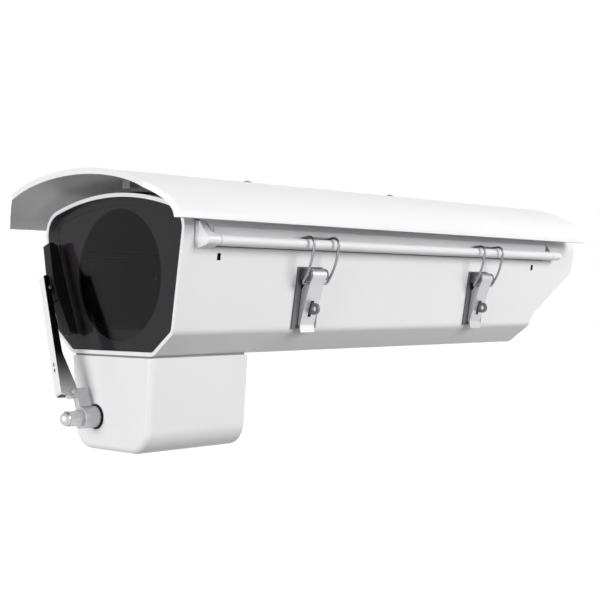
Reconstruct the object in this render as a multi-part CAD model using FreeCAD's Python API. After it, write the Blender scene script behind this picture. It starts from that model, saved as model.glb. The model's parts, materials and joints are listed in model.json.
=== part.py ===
import FreeCAD, Part
import math
import os

# Housing for a fixed security camera, in millimetres.
# +Z is up, -Y is the window end and +X is the latch side.
# The origin is the middle of the fixing holes on the underside of the shell.

V = FreeCAD.Vector
X_AXIS, Y_AXIS, Z_AXIS = V(1, 0, 0), V(0, 1, 0), V(0, 0, 1)
FAR = 400.0                 # larger than the part, for cutting blocks

# Cross-section shared by bezel, shell, cover and rear cap
WIDE_X, WIDE_Z = 75.5, 87.2         # widest point of the side
LOW_X, LOW_Z = 63.5, 15.1           # top of the lower chamfer
FLOOR_X = 43.6                      # half-width of the flat underside
EDGE_R = 7.0                        # rounding of the lower edges
MIN_R = 1.0                         # least rounding of an inner face
SHOULDER_R = 17.0                   # rounding between side and roof
ROOF_R = 215.0                      # roof arc
END_CROWN = 107.0                   # roof height of bezel and rear cap
COVER_CROWN = 111.0                 # roof height of the cover
WALL = 3.0
COVER_WALL = 2.5
SKIN = 1.0                          # depth to which ribs and ridges run into a wall
OVERRUN = 1.0                       # how far a cutting shape passes a face
EDGE = 0.01                         # keeps a cut off a face that stays

# Stations along the length
FACE_Y = -220.0                     # front face of the bezel
FRONT_SEAM_Y = -196.5               # bezel to shell
REAR_SEAM_Y = 176.0                 # shell to rear cap
COVER_END_Y = 189.0                 # rear end of cover and rail
BACK_Y = 236.5                      # flat back of the rear cap
SHELL_TOP_Z = 70.2
SEAM_GAP = 0.3                      # between parts that move apart

# Bezel and window
RIM = 2.6                           # width of the visible rim
RIM_DEPTH = 3.0                     # length of the rim before the side groove
STEP_IN = 4.0                       # depth of the roof step under the cover
GLASS_T = 5.0
GLASS_RECESS = 0.2
GASKET_T = 1.0
MASK_T = 1.5
LEDGE_IN = 8.6                      # ledge behind the mask
LEDGE_T = 2.5
VIEW_R = 44.1
VIEW_Z = 52.9
SEAT_PLAY = 0.1
LAP_Y = -208.0                      # front edge of the cover over the bezel
LAP_Z = 86.5                        # the lap reaches down to here
LAP_SLOPE_LEN = 6.5                 # slanted front edge of the cover's side
LAP_SLOPE_Z = 79.6                  # where the slant starts on the seam
GROOVE_LOW_Z, GROOVE_TOP_Z = 64.0, 90.0     # groove between rim and rail stub
GROOVE_Y = -210.3                   # its steep flank
GROOVE_LIP_IN, GROOVE_IN = 1.2, 3.8         # its depth over the pane's seat and at the flank

# Rail that the latches hook on
RAIL_X, RAIL_Z, RAIL_R = 79.5, 74.2, 3.5
RAIL_NECK_TOP = 76.2
BAND_T, BAND_TOP_Z = 0.8, 83.4      # raised band on the cover above the rail
STUB_NOSE_LEN = 2.6                 # sloping front of the stub on the bezel
STUB_FOOT_Z = 68.4
NOSE_Y = 201.0                      # centre of the stub's nose on the cap

# Rear cap: side profile behind its seam
CAP_FOOT_LEN = 4.5
CAP_KNEE_LEN, CAP_KNEE_Z, CAP_KNEE_R = 6.5, 22.5, 12.0
CAP_HEEL_Z, CAP_HEEL_R = 60.5, 10.0
CAP_STEP_X, CAP_BORE_X = 68.0, 65.0         # half-widths of its roof step and its bore
CAP_NOTCH_LEN = 9.0                 # slanted notch behind the cover's end
CAP_NOTCH_GAP = 0.6

# Bolted flanges of bezel and rear cap
FLANGE_LEN = 3.0
FLANGE_DEEP = 16.0
FLANGE_TOP_Z = 66.0
CAP_HIGH_Z = 60.0                   # the cap's upper bore starts here

# Small pockets in the shell's sides
POCKET_Y = (-188.8, 173.0)
POCKET_Z = 64.0
POCKET_W, POCKET_H, POCKET_IN = 3.0, 4.6, 1.8

# Flanges and seals between shell and cover
FLANGE_IN = 8.0
FLANGE_T = 2.2
SEAL_INSET = 1.2
SEAL_SET = 4.0                      # distance of the seals from the ends
END_SEAL_X = 60.0
LEDGE_Z = 71.5                      # underside of the cover's seal ledge
SEAL_W = 5.0
SEAL_T = 1.9

# Sunshield
SHIELD_FRONT_Y, SHIELD_BACK_Y = -250.3, 226.3
SHIELD_A, SHIELD_B = 92.2, 35.0     # half-width and rise of the outer ellipse
SHIELD_T = 4.0
SHIELD_BASE_Z = 86.0
CLIP_X, CLIP_Y = 71.0, -238.3       # cut corner in plan
SHIELD_FIX_Y = (-95.3, 68.6)
SHIELD_SCREW_R = 2.5
SHIELD_HEAD_R, SHIELD_HEAD_H = 5.0, 3.2
SHIELD_NUT_AF, SHIELD_NUT_LEN = 8.0, 3.9
SPACER_R = 5.0
SPACER_BORE_R = 2.6
REST_Y, REST_LEN, REST_W = -204.1, 7.0, 8.0

# Hinges on the -X side
HINGE_Y = (-110.0, 110.0)
HINGE_LEN = 50.0
KNUCKLE_LEN = 24.6                  # middle knuckle, on the cover
HINGE_PIN_R = 1.75
LEAF_T = 2.0
LEAF_LOW_Z = 44.0
COVER_LEAF_LOW_Z, COVER_LEAF_TOP_Z = 74.8, 86.0
KNUCKLE_GAP = 0.2
HINGE_WEB_DROP = 3.0                # the leaf's web leaves the side this far under the knuckle
HINGE_HEAD_H = 1.4
HINGE_SCREW_LOW_Z, HINGE_SCREW_LOW_STEP = 52.0, 16.7
HINGE_SCREW_TOP_Z, HINGE_SCREW_TOP_STEP = 82.0, 8.0
RUN_PLAY = 0.05                     # radial play of turning pins

# Latches on the +X side
LATCH_Y = (-103.2, 95.0)
BASE_HALF = 11.9
BASE_LOW_Z, BASE_TOP_Z = 16.7, 59.2
BASE_T = 1.4
PIVOT_OFF, PIVOT_Z = 6.6, 54.7      # lever pivot, off the side plane
BARREL_R = 4.2
LATCH_PIN_R = 1.5
LEVER_HALF = 7.0
EAR_GAP = 0.3                       # lever to ears
CHEEK_GAP = 0.3                     # lever's cheeks to the base plate
LEVER_T = 1.2
EAR_T = 1.6
LEVER_MID_OFF, LEVER_MID_Z = 8.7, 48.0
LEVER_END_OFF, LEVER_END_Z = 4.0, 20.0
LIP_OFF, LIP_Z = 5.4, 14.8
LEVER_BEND_R, LIP_BEND_R = 5.0, 4.0         # outer bends of the lever
BAIL_ARM, BAIL_TURN = 6.2, 100.0    # bail pivot seen from the lever pivot
WIRE_R = 0.9
BAIL_HALF = 12.4
HOOK_OUT = 2.6                      # centre of the hook arc in front of the rail's
HOOK_GAP = 0.4                      # added to rail and wire for the radius of the arc
HOOK_FROM, HOOK_TURN = -12.0, 94.0          # ends of the arc
HOOK_REACH = 5.6                    # from the arc to the bar behind the rail
KNEE_R = 40.0                       # bow of the bail's legs
BEND_R = 2.0
EYE_R, EYE_HOLE_R, EYE_T = 4.0, 1.9, 2.0
EYE_Z, EYE_OFF = 31.7, 9.6
SLOT_W = 3.2
SLOT_NEAR, SLOT_FAR = 17.9, 29.0    # slot ends, from the lever pivot
LATCH_SCREW_R, LATCH_HEAD_R, LATCH_HEAD_H = 1.4, 2.2, 1.0
LATCH_SCREW_Y = 3.3
LATCH_SCREW_Z = (24.2, 43.0)

# Wiper drive box under the front
BOX_FRONT_Y, BOX_BACK_Y = -221.4, -136.5
BOX_TOP_X, BOX_LOW_X = 43.6, 38.4
BOX_LOW_Z = -64.0
BOX_R = 17.0
BOX_EDGE_R = 4.5
BOX_WALL = 2.6
BOX_SEAL_T = 1.2
BOX_SEAL_IN = 1.6
BOX_SEAL_W = 5.0
BOX_POST_R = 4.5
BOX_POST_H = 14.0
BOX_POST_INSET = 6.5
BOX_POST_FRONT = 34.0               # the front posts stand this far behind the corner
BOX_SCREW_GRIP = 8.0
CABLE_HOLE_R, CABLE_HOLE_IN = 5.0, 12.0

# Wiper
SPIN_X, SPIN_Z = -14.5, -41.7
PARK_TURN = 21.5                    # parked lean of the arm towards -X
SPINDLE_R = 4.0
THREAD_R = 3.0
BUSH_R, BUSH_RING_R = 6.5, 8.4
BUSH_RING_T = 0.9
HEAD_R = 7.3
HEAD_BACK_Y, HEAD_FRONT_Y = -222.6, -234.6
CAP_NUT_AF, CAP_NUT_LEN = 10.0, 10.2
CAP_NUT_TIP_Y, CAP_NUT_WALL = -249.5, 4.0
FOLD_R, FOLD_Y = 17.0, -238.0       # fold pin: reach from the spindle and depth
FOLD_PIN_R, FOLD_EAR_R = 1.6, 3.0
ARM_HALF_LOW, ARM_HALF_TOP = 3.8, 2.7
ARM_T = 0.9
ARM_FACE_LOW_Y, ARM_FACE_TOP_Y = -247.5, -239.6
ARM_DEPTH = 4.4                     # at the blade end
ARM_KNEE, ARM_KNEE_DEPTH = 45.0, 5.8
ARM_HEEL_UP, ARM_HEEL_BACK = 4.0, 3.8       # back corner above and behind the fold pin
ARM_FOOT_BACK = 2.8
ARM_ROUNDS = [2.5, 1.5, 1.0, 12.0, 4.0, 2.0]
ARM_LOW, ARM_TOP = 15.5, 101.0      # reach of the arm from the spindle
ARM_SLOTS = (32.4, 36.4)            # reach of the two small slots in its face
ARM_SLOT_LEN, ARM_SLOT_HALF = 2.6, 0.6
SPRING_R, SPRING_WIRE_R = 1.5, 0.4
SPRING_UP, SPRING_LEN = 7.0, 30.0           # start above the fold pin and length
SPRING_GAP = 1.7                    # coil to the inside of the arm
BLADE_REACH = 92.0                  # rocking pin
BLADE_PIN_IN = 3.4                  # its depth behind the arm's face
BLADE_PIN_R = 1.2
BLADE_HALF_LEN = 33.0
CARRIER_Y = (-232.6, -225.2)
CARRIER_HALF = 4.0
CARRIER_TAPER, CARRIER_FLAT = 3.0, 12.0     # drop at the ends and half the level part
GROOVE_HALF, GROOVE_DEEP = 1.2, 2.0
CLIP_HALF = 5.0
CLIP_WALL = 1.1
CLIP_HALF_LEN = 9.0
CLIP_SIDE = 3.0                     # how far the clip reaches down the spine
CLIP_EYE_R = 1.9
RUBBER_EDGE_GAP = 0.3               # lip in front of the rim plane
RUBBER_HALF = 1.9
LIP_HALF = 0.5
SHOULDER_T = 1.4

# Drive inside the box
GEARBOX_X = (-32.0, 16.0)
GEARBOX_Z = (-57.0, -24.0)
GEARBOX_LEN = 24.0
GEARBOX_EDGE_R = 3.0
GEARBOX_SCREW_IN = 4.0
GEARBOX_TAIL_WALL = 4.0             # left behind the spindle's bore
BUSH_IN = 8.0                       # sleeve inside the gearbox
MOTOR_R, MOTOR_LEN = 13.5, 46.0
MOTOR_HUB_R, MOTOR_HUB_LEN = 5.4, 3.0
MOTOR_X = 0.0

# Inside the shell
POST_R = 4.6
CHANNEL_LEN = 40.0                  # screw channels at both ends of the shell
FRAME_SCREW_R, FRAME_HEAD_R, FRAME_HEAD_H = 2.0, 3.0, 2.4
FRAME_SCREW_LEN = 12.0
FRONT_SCREWS = ((64.4, 60.0), (49.3, 13.1))
REAR_SCREWS = ((64.4, 60.0), (60.8, 38.0))
SLED_X, SLED_Y, SLED_Z, SLED_T = 30.0, (-108.0, 96.0), 15.0, 2.0
SLED_POSTS = ((22.0, -96.0), (22.0, 84.0))
M3_R, M3_HEAD_R, M3_HEAD_H = 1.5, 2.75, 2.0
SLED_SLOT_X, SLED_SLOT_W, SLED_SLOT_LEN = 9.0, 6.6, 150.0
SLED_POST_AF, BOARD_POST_AF = 7.0, 6.0
POST_GRIP = 3.5                     # screw length inside a post
M3_CLEAR = 0.2                      # radial clearance of screw holes
HEATER_X, HEATER_Y = 30.0, (-182.0, -146.0)
HEATER_BASE_T, FIN_H, FIN_T, FIN_COUNT = 3.0, 9.0, 1.4, 12
FAN_SIZE, FAN_T, FAN_Y = 25.0, 10.0, -140.0
ROTOR_R, HUB_R, FAN_GAP = 10.8, 4.5, 0.6
BLADES = 7
BLADE_TURN = 32.0                   # pitch of the rotor blades
STRUT_T, STRUT_HALF, STRUT_IN = 1.2, 0.8, 0.5
FAN_SHAFT_R, FAN_SHAFT_IN, FAN_SHAFT_PLAY = 1.0, 2.0, 0.1
ROTOR_GAP = 0.4
BOARD_X, BOARD_Y, BOARD_T = 40.0, (108.0, 168.0), 1.6
BOARD_POST_H = 6.0
BOARD_POSTS = ((35.0, 113.0), (35.0, 163.0))
BLOCK_SIZE = (9.0, 26.0, 11.0)
BLOCK_X = (-24.0, 0.0, 24.0)
WAYS, WAY_PITCH = 5, 5.0
MOUTH_HALF, MOUTH_Z, MOUTH_DEEP = 1.5, (2.0, 5.0), 4.0
CLAMP_R, CLAMP_DEEP, CLAMP_X = 1.6, 1.5, 1.0

# Fixing pattern on the underside
MOUNT_X, MOUNT_Y = 30.0, 40.0
MOUNT_THREAD_R = 2.5                # tapped through shell and plate together
MOUNT_PLATE_X, MOUNT_PLATE_Y, MOUNT_PLATE_T = 40.0, 52.0, 6.0
MOUNT_PLATE_SCREWS = ((0.0, -44.0), (0.0, 44.0))

# Cable glands in the back
GLAND_X = (-30.0, 0.0, 30.0)
GLAND_Z = 82.0
GLAND_THREAD_R, GLAND_BORE_R = 8.0, 4.8
GLAND_AF, GLAND_HEX_LEN = 20.0, 6.0
GLAND_NUT_LEN, GLAND_NUT_GAP = 13.0, 0.2
GLAND_INSIDE_LEN, GLAND_OUTSIDE_LEN = 11.0, 13.0
GLAND_MOUTH_EXTRA = 2.5
GLAND_SEAL_SET, GLAND_SEAL_LEN = 2.0, 16.0
LOCKNUT_AF, LOCKNUT_LEN = 21.0, 4.5
GLAND_CABLE_R = 3.5


def block(x, y, z):
    """Box between the two limits of each axis."""
    low = V(min(x), min(y), min(z))
    return Part.makeBox(abs(x[1] - x[0]), abs(y[1] - y[0]), abs(z[1] - z[0]), low)


def rod(start, axis, radius, length):
    return Part.makeCylinder(radius, length, start, axis)


def tube(start, axis, outer, inner, length):
    return rod(start, axis, outer, length).cut(rod(start, axis, inner, length))


def hexagon(centre, axis, across_flats, length):
    """Hexagonal prism along Y or Z."""
    reach = across_flats / math.sqrt(3)
    side = X_AXIS if abs(axis.x) < 0.5 else Z_AXIS
    up = axis.cross(side)
    points = []
    for step in range(7):
        turn = math.radians(60 * step)
        points.append(centre + side * (reach * math.cos(turn)) + up * (reach * math.sin(turn)))
    return Part.Face(Part.makePolygon(points)).extrude(axis * length)


def fuse(shapes):
    whole = shapes[0]
    for shape in shapes[1:]:
        whole = whole.fuse(shape)
    return whole.removeSplitter()


def cut(shape, tools):
    for tool in tools:
        shape = shape.cut(tool)
    return shape


def mirror_x(shape):
    return shape.mirror(V(0, 0, 0), X_AXIS)


def corner(before, point, after, radius):
    """Tangent arc at a corner: its start, middle and end."""
    back = (before - point).normalize()
    ahead = (after - point).normalize()
    half = back.getAngle(ahead) / 2
    reach = radius / math.tan(half)
    towards = (back + ahead).normalize()
    centre = point + towards * (radius / math.sin(half))
    return point + back * reach, centre - towards * radius, point + ahead * reach


def rounded_edges(points, radii, closed):
    """Lines through the points, with an arc at each corner that has a radius."""
    count = len(points)
    edges = []
    last = None
    first = None
    for i in range(count):
        inner = closed or 0 < i < count - 1
        if inner and radii[i] > 0:
            start, middle, end = corner(points[i - 1], points[i], points[(i + 1) % count], radii[i])
        else:
            start, middle, end = points[i], None, points[i]
        if last is not None:
            edges.append(Part.LineSegment(last, start).toShape())
        if middle is not None:
            edges.append(Part.Arc(start, middle, end).toShape())
        if first is None:
            first = start
        last = end
    if closed:
        edges.append(Part.LineSegment(last, first).toShape())
    return edges


def plate(points, radii, direction):
    """Prism over a rounded polygon."""
    return Part.Face(Part.Wire(rounded_edges(points, radii, True))).extrude(direction)


def side_x(z):
    """Half-width of the sloping side at a height."""
    return LOW_X + (z - LOW_Z) * (WIDE_X - LOW_X) / (WIDE_Z - LOW_Z)


SIDE_DIR = V(WIDE_X - LOW_X, 0, WIDE_Z - LOW_Z).normalize()
SIDE_OUT = V(SIDE_DIR.z, 0, -SIDE_DIR.x)
CHAMFER_DIR = V(LOW_X - FLOOR_X, 0, LOW_Z).normalize()
CHAMFER_OUT = V(CHAMFER_DIR.z, 0, -CHAMFER_DIR.x)


def on_side(offset, z, y=0.0):
    """Point at an offset from the sloping side, from its foot at a height."""
    return V(side_x(z), y, z) + SIDE_OUT * offset


def meet(p, d, q, e):
    """Crossing of two lines in an XZ plane."""
    along = ((q.x - p.x) * e.z - (q.z - p.z) * e.x) / (d.x * e.z - d.z * e.x)
    return p + d * along


def house_face(y, grow, crown):
    """Cross-section at a station, offset outwards by grow."""
    roof_centre = V(0, y, crown - ROOF_R)
    roof_r = ROOF_R + grow
    shoulder_r = SHOULDER_R + grow
    floor = V(0, y, -grow)
    chamfer = V(FLOOR_X, y, 0) + CHAMFER_OUT * grow
    side = V(LOW_X, y, LOW_Z) + SIDE_OUT * grow
    low = meet(floor, X_AXIS, chamfer, CHAMFER_DIR)
    mid = meet(chamfer, CHAMFER_DIR, side, SIDE_DIR)
    inset = side - SIDE_OUT * shoulder_r
    reach = roof_r - shoulder_r
    from_roof = inset - roof_centre
    half_b = from_roof.dot(SIDE_DIR)
    step = -half_b + math.sqrt(half_b ** 2 - from_roof.dot(from_roof) + reach ** 2)
    shoulder = inset + SIDE_DIR * step
    on_roof = roof_centre + (shoulder - roof_centre).normalize() * roof_r
    on_flank = shoulder + SIDE_OUT * shoulder_r
    between = (SIDE_OUT + (shoulder - roof_centre).normalize()).normalize()
    radius = max(EDGE_R + grow, MIN_R)
    right = [low, mid, on_flank]
    left = [V(-p.x, p.y, p.z) for p in reversed(right)]
    loop = left + right
    corners = [0, radius, radius, radius, radius, 0]
    edges = rounded_edges(loop, corners, False)
    far_roof = V(-on_roof.x, y, on_roof.z)
    elbow = shoulder + between * shoulder_r
    far_elbow = V(-elbow.x, y, elbow.z)
    edges.append(Part.Arc(on_flank, elbow, on_roof).toShape())
    edges.append(Part.Arc(on_roof, V(0, y, crown + grow), far_roof).toShape())
    edges.append(Part.Arc(far_roof, far_elbow, V(-on_flank.x, y, on_flank.z)).toShape())
    return Part.Face(Part.Wire(edges))


def house(y0, y1, grow=0.0, crown=END_CROWN):
    """Prism over the cross-section between two stations."""
    return house_face(y0, grow, crown).extrude(V(0, y1 - y0, 0))


def below(z):
    return block((-FAR, FAR), (-FAR, FAR), (-FAR, z))


def above(z):
    return block((-FAR, FAR), (-FAR, FAR), (z, FAR))


def rail(y0, y1):
    """Half-round ridge with its neck on the +X side."""
    low = RAIL_Z - RAIL_R
    points = [
        V(side_x(low) - SKIN, y0, low),
        V(RAIL_X, y0, low),
        V(RAIL_X, y0, RAIL_NECK_TOP),
        V(side_x(RAIL_NECK_TOP) - SKIN, y0, RAIL_NECK_TOP),
    ]
    neck = plate(points, [0] * 4, V(0, y1 - y0, 0))
    return neck.fuse(rod(V(RAIL_X, y0, RAIL_Z), Y_AXIS, RAIL_R, y1 - y0))


def raised_band(y0, y1):
    """Flat band on the side above the rail."""
    points = [
        on_side(-SKIN, RAIL_Z, y0), on_side(BAND_T, RAIL_Z, y0),
        on_side(BAND_T, BAND_TOP_Z, y0), on_side(-SKIN, BAND_TOP_Z, y0),
    ]
    return plate(points, [0] * 4, V(0, y1 - y0, 0))


def both_sides(shape):
    return shape.fuse(mirror_x(shape))


def frame_screw_points(places, y):
    """Places of the end-frame screws, both sides."""
    return [V(sign * x, y, z) for x, z in places for sign in (1, -1)]


# Window end

MASK_FRONT_Y = FACE_Y + GLASS_RECESS + GLASS_T + GASKET_T
LEDGE_FRONT_Y = MASK_FRONT_Y + MASK_T
LEDGE_BACK_Y = LEDGE_FRONT_Y + LEDGE_T
ROOF_STEP_Y = LEDGE_FRONT_Y + SEAM_GAP


def front_bezel():
    solid = house(FACE_Y, FRONT_SEAM_Y)
    solid = cut(solid, [bezel_roof_step(), side_groove(), mirror_x(side_groove())])
    solid = solid.fuse(both_sides(bezel_stub()))
    behind = FRONT_SEAM_Y + OVERRUN
    recess = house(FACE_Y - OVERRUN, LEDGE_FRONT_Y, -RIM)
    opening = house(FACE_Y - OVERRUN, LEDGE_BACK_Y + OVERRUN, -LEDGE_IN)
    cavity_low = house(LEDGE_BACK_Y, behind, -WALL).common(below(FLANGE_TOP_Z))
    cavity_high = house(LEDGE_BACK_Y, behind, -STEP_IN - WALL)
    flange_y = FRONT_SEAM_Y - FLANGE_LEN
    solid = cut(solid, [recess, opening, cavity_low, cavity_high])
    solid = solid.fuse(bolted_flange(flange_y, FRONT_SEAM_Y))
    holes = [rod(p, Y_AXIS, FRAME_SCREW_R + M3_CLEAR, FLANGE_LEN + 2 * OVERRUN)
             for p in frame_screw_points(FRONT_SCREWS, flange_y - OVERRUN)]
    return cut(solid, holes).removeSplitter()


def bolted_flange(y0, y1):
    """Inner rim that carries the end-frame screws."""
    hole = house(y0 - OVERRUN, y1 + OVERRUN, -FLANGE_DEEP)
    return house(y0, y1, -SKIN).cut(hole).common(below(FLANGE_TOP_Z))


def bezel_roof_step():
    """Low roof that the cover laps over, with the slanted edge on the sides."""
    skin = house(FACE_Y, FRONT_SEAM_Y + OVERRUN, OVERRUN, COVER_CROWN)
    skin = skin.cut(house(FACE_Y - OVERRUN, FRONT_SEAM_Y + 2 * OVERRUN, -STEP_IN))
    slope_low, slope_top = LAP_SLOPE_Z - SEAM_GAP, LAP_Z - SEAM_GAP
    outline = [
        V(-FAR, ROOF_STEP_Y, FAR),
        V(-FAR, ROOF_STEP_Y, slope_top),
        V(-FAR, FRONT_SEAM_Y - LAP_SLOPE_LEN - SEAM_GAP, slope_top),
        V(-FAR, FRONT_SEAM_Y - SEAM_GAP, slope_low),
        V(-FAR, FRONT_SEAM_Y + OVERRUN, slope_low),
        V(-FAR, FRONT_SEAM_Y + OVERRUN, FAR),
    ]
    return skin.common(plate(outline, [0] * 6, V(2 * FAR, 0, 0)))


def side_groove():
    """Wedge between the rim and the stub, deepest at the stub and at the top."""
    rim_y = FACE_Y + RIM_DEPTH
    top = [
        on_side(0, GROOVE_TOP_Z, rim_y),
        on_side(-GROOVE_LIP_IN, GROOVE_TOP_Z, LEDGE_FRONT_Y),
        on_side(-GROOVE_IN, GROOVE_TOP_Z, GROOVE_Y),
        on_side(OVERRUN, GROOVE_TOP_Z, GROOVE_Y),
        on_side(OVERRUN, GROOVE_TOP_Z, rim_y),
    ]
    tip = on_side(OVERRUN / 2, GROOVE_LOW_Z, GROOVE_Y)
    low = [tip + (p - top[3]) * 0.1 for p in top]
    loops = [Part.makePolygon(low + low[:1]), Part.makePolygon(top + top[:1])]
    return Part.makeLoft(loops, True, True)


def bezel_stub():
    """Front end of the rail line, with a sloping nose and a slanted top."""
    nose_y = GROOVE_Y + STUB_NOSE_LEN
    slope_y = FRONT_SEAM_Y - LAP_SLOPE_LEN - SEAM_GAP
    slope_low, slope_top = LAP_SLOPE_Z - SEAM_GAP, LAP_Z - SEAM_GAP
    sections = [stub_section(nose_y, slope_top), stub_section(slope_y, slope_top),
                stub_section(FRONT_SEAM_Y, slope_low)]
    foot = on_side(-GROOVE_IN, RAIL_Z, GROOVE_Y)
    nose = [foot + (p - V(foot.x, nose_y, foot.z)) * 0.2 for p in sections[0]]
    loops = [Part.makePolygon(loop + loop[:1]) for loop in [nose] + sections]
    return Part.makeLoft(loops, True, True)


def stub_section(y, top_z):
    """Rail profile with a flat slope from its top up to the side."""
    low = V(side_x(STUB_FOOT_Z) - SKIN, y, STUB_FOOT_Z)
    turns = [math.radians(t) for t in (-90, -60, -30, 0, 30, 60, 85)]
    bulge = [V(RAIL_X + RAIL_R * math.cos(t), y, RAIL_Z + RAIL_R * math.sin(t)) for t in turns]
    return [low] + bulge + [V(side_x(top_z) - SKIN, y, top_z)]


def front_glass():
    y0 = FACE_Y + GLASS_RECESS
    return house(y0, y0 + GLASS_T, -RIM - SEAT_PLAY)


def window_gasket():
    y0 = FACE_Y + GLASS_RECESS + GLASS_T
    ring = house(y0, y0 + GASKET_T, -RIM - SEAT_PLAY)
    return ring.cut(house(y0 - OVERRUN, y0 + GASKET_T + OVERRUN, SKIN - LEDGE_IN))


def window_mask():
    panel = house(MASK_FRONT_Y, MASK_FRONT_Y + MASK_T, -RIM - SEAT_PLAY)
    return panel.cut(rod(V(0, MASK_FRONT_Y - OVERRUN, VIEW_Z), Y_AXIS, VIEW_R, MASK_T + 2 * OVERRUN))


# Shell and rear cap

def body_shell():
    y0, y1 = FRONT_SEAM_Y, REAR_SEAM_Y
    solid = house(y0, y1).common(below(SHELL_TOP_Z))
    solid = solid.cut(house(y0 - OVERRUN, y1 + OVERRUN, -WALL))
    flange = house(y0, y1, -SKIN).cut(house(y0 - OVERRUN, y1 + OVERRUN, -WALL - FLANGE_IN))
    flange_top = LEDGE_Z - SEAL_T - SEAT_PLAY
    flange = flange.common(below(flange_top)).common(above(flange_top - FLANGE_T))
    front_points = frame_screw_points(FRONT_SCREWS, y0)
    rear_points = frame_screw_points(REAR_SCREWS, y1)
    channels = [rod(p, Y_AXIS, POST_R, CHANNEL_LEN) for p in front_points]
    channels += [rod(p, -Y_AXIS, POST_R, CHANNEL_LEN) for p in rear_points]
    inside = house(y0, y1, -SKIN)
    solid = fuse([solid, flange] + [c.common(inside) for c in channels])
    holes = [rod(p - Y_AXIS, Y_AXIS, FRAME_SCREW_R, CHANNEL_LEN) for p in front_points]
    holes += [rod(p + Y_AXIS, -Y_AXIS, FRAME_SCREW_R, CHANNEL_LEN) for p in rear_points]
    pockets = [side_pocket(y) for y in POCKET_Y]
    pockets += [mirror_x(pocket) for pocket in pockets]
    return cut(solid, holes + shell_floor_holes() + shell_side_holes() + pockets).removeSplitter()


def shell_floor_holes():
    """Holes for fixings, mounting plate, drive box and its cable."""
    deep = WALL + 2 * OVERRUN
    holes = [rod(V(x, y, -OVERRUN), Z_AXIS, MOUNT_THREAD_R, deep)
             for x in (-MOUNT_X, MOUNT_X) for y in (-MOUNT_Y, MOUNT_Y)]
    holes += [rod(V(x, y, -OVERRUN), Z_AXIS, M3_R + M3_CLEAR, deep) for x, y in MOUNT_PLATE_SCREWS]
    holes += [rod(p, Z_AXIS, M3_R + M3_CLEAR, deep) for p in box_screw_points(-OVERRUN)]
    cable = V(MOTOR_X, BOX_BACK_Y - CABLE_HOLE_IN, -OVERRUN)
    return holes + [rod(cable, Z_AXIS, CABLE_HOLE_R, deep)]


def shell_side_holes():
    """Tapped holes for the catch plates and the hinges."""
    deep = WALL + 2 * OVERRUN
    holes = []
    for y in LATCH_Y:
        holes += [rod(on_side(-WALL - OVERRUN, z, y + dy), SIDE_OUT, LATCH_SCREW_R, deep)
                  for z in LATCH_SCREW_Z for dy in (-LATCH_SCREW_Y, LATCH_SCREW_Y)]
    for p in hinge_screw_points(HINGE_SCREW_LOW_Z, HINGE_SCREW_LOW_STEP):
        holes.append(mirror_x(rod(p - SIDE_OUT * (WALL + OVERRUN), SIDE_OUT, M3_R, deep)))
    return holes


def side_pocket(y):
    low, high = POCKET_Z - POCKET_H / 2, POCKET_Z + POCKET_H / 2
    start = y - POCKET_W / 2
    points = [on_side(-POCKET_IN, low, start), on_side(OVERRUN, low, start),
              on_side(OVERRUN, high, start), on_side(-POCKET_IN, high, start)]
    return plate(points, [0] * 4, V(0, POCKET_W, 0))


def cap_prism(inset):
    """Space inside the rear cap's side profile, moved inwards by inset."""
    low = inset - FAR / 10
    points = [
        V(-FAR, REAR_SEAM_Y - FAR / 10, low),
        V(-FAR, REAR_SEAM_Y + CAP_FOOT_LEN - inset, low),
        V(-FAR, REAR_SEAM_Y + CAP_FOOT_LEN - inset, inset),
        V(-FAR, REAR_SEAM_Y + CAP_KNEE_LEN - inset, CAP_KNEE_Z + inset),
        V(-FAR, BACK_Y - inset, CAP_HEEL_Z + inset),
        V(-FAR, BACK_Y - inset, FAR),
        V(-FAR, REAR_SEAM_Y - FAR / 10, FAR),
    ]
    return plate(points, [0, 0, 0, CAP_KNEE_R, CAP_HEEL_R, 0, 0], V(2 * FAR, 0, 0))


def wide(half):
    """Everything within a half-width."""
    return block((-half, half), (-FAR, FAR), (-FAR, FAR))


def cap_roof_step():
    """Low roof under the cover, with a slanted notch behind its end."""
    skin = house(REAR_SEAM_Y - OVERRUN, BACK_Y, STEP_IN, COVER_CROWN).cut(
        house(REAR_SEAM_Y - 2 * OVERRUN, BACK_Y + OVERRUN, -STEP_IN).common(wide(CAP_STEP_X)))
    edge = COVER_END_Y + SEAM_GAP
    notch_z = RAIL_Z + RAIL_R + CAP_NOTCH_GAP
    outline = [
        V(-FAR, REAR_SEAM_Y - OVERRUN, FAR),
        V(-FAR, REAR_SEAM_Y - OVERRUN, SHELL_TOP_Z),
        V(-FAR, edge, SHELL_TOP_Z),
        V(-FAR, edge, notch_z),
        V(-FAR, edge + CAP_NOTCH_LEN, notch_z),
        V(-FAR, edge + SEAM_GAP, SHIELD_BASE_Z),
        V(-FAR, edge + SEAM_GAP, FAR),
    ]
    return skin.common(plate(outline, [0] * 7, V(2 * FAR, 0, 0)))


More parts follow.
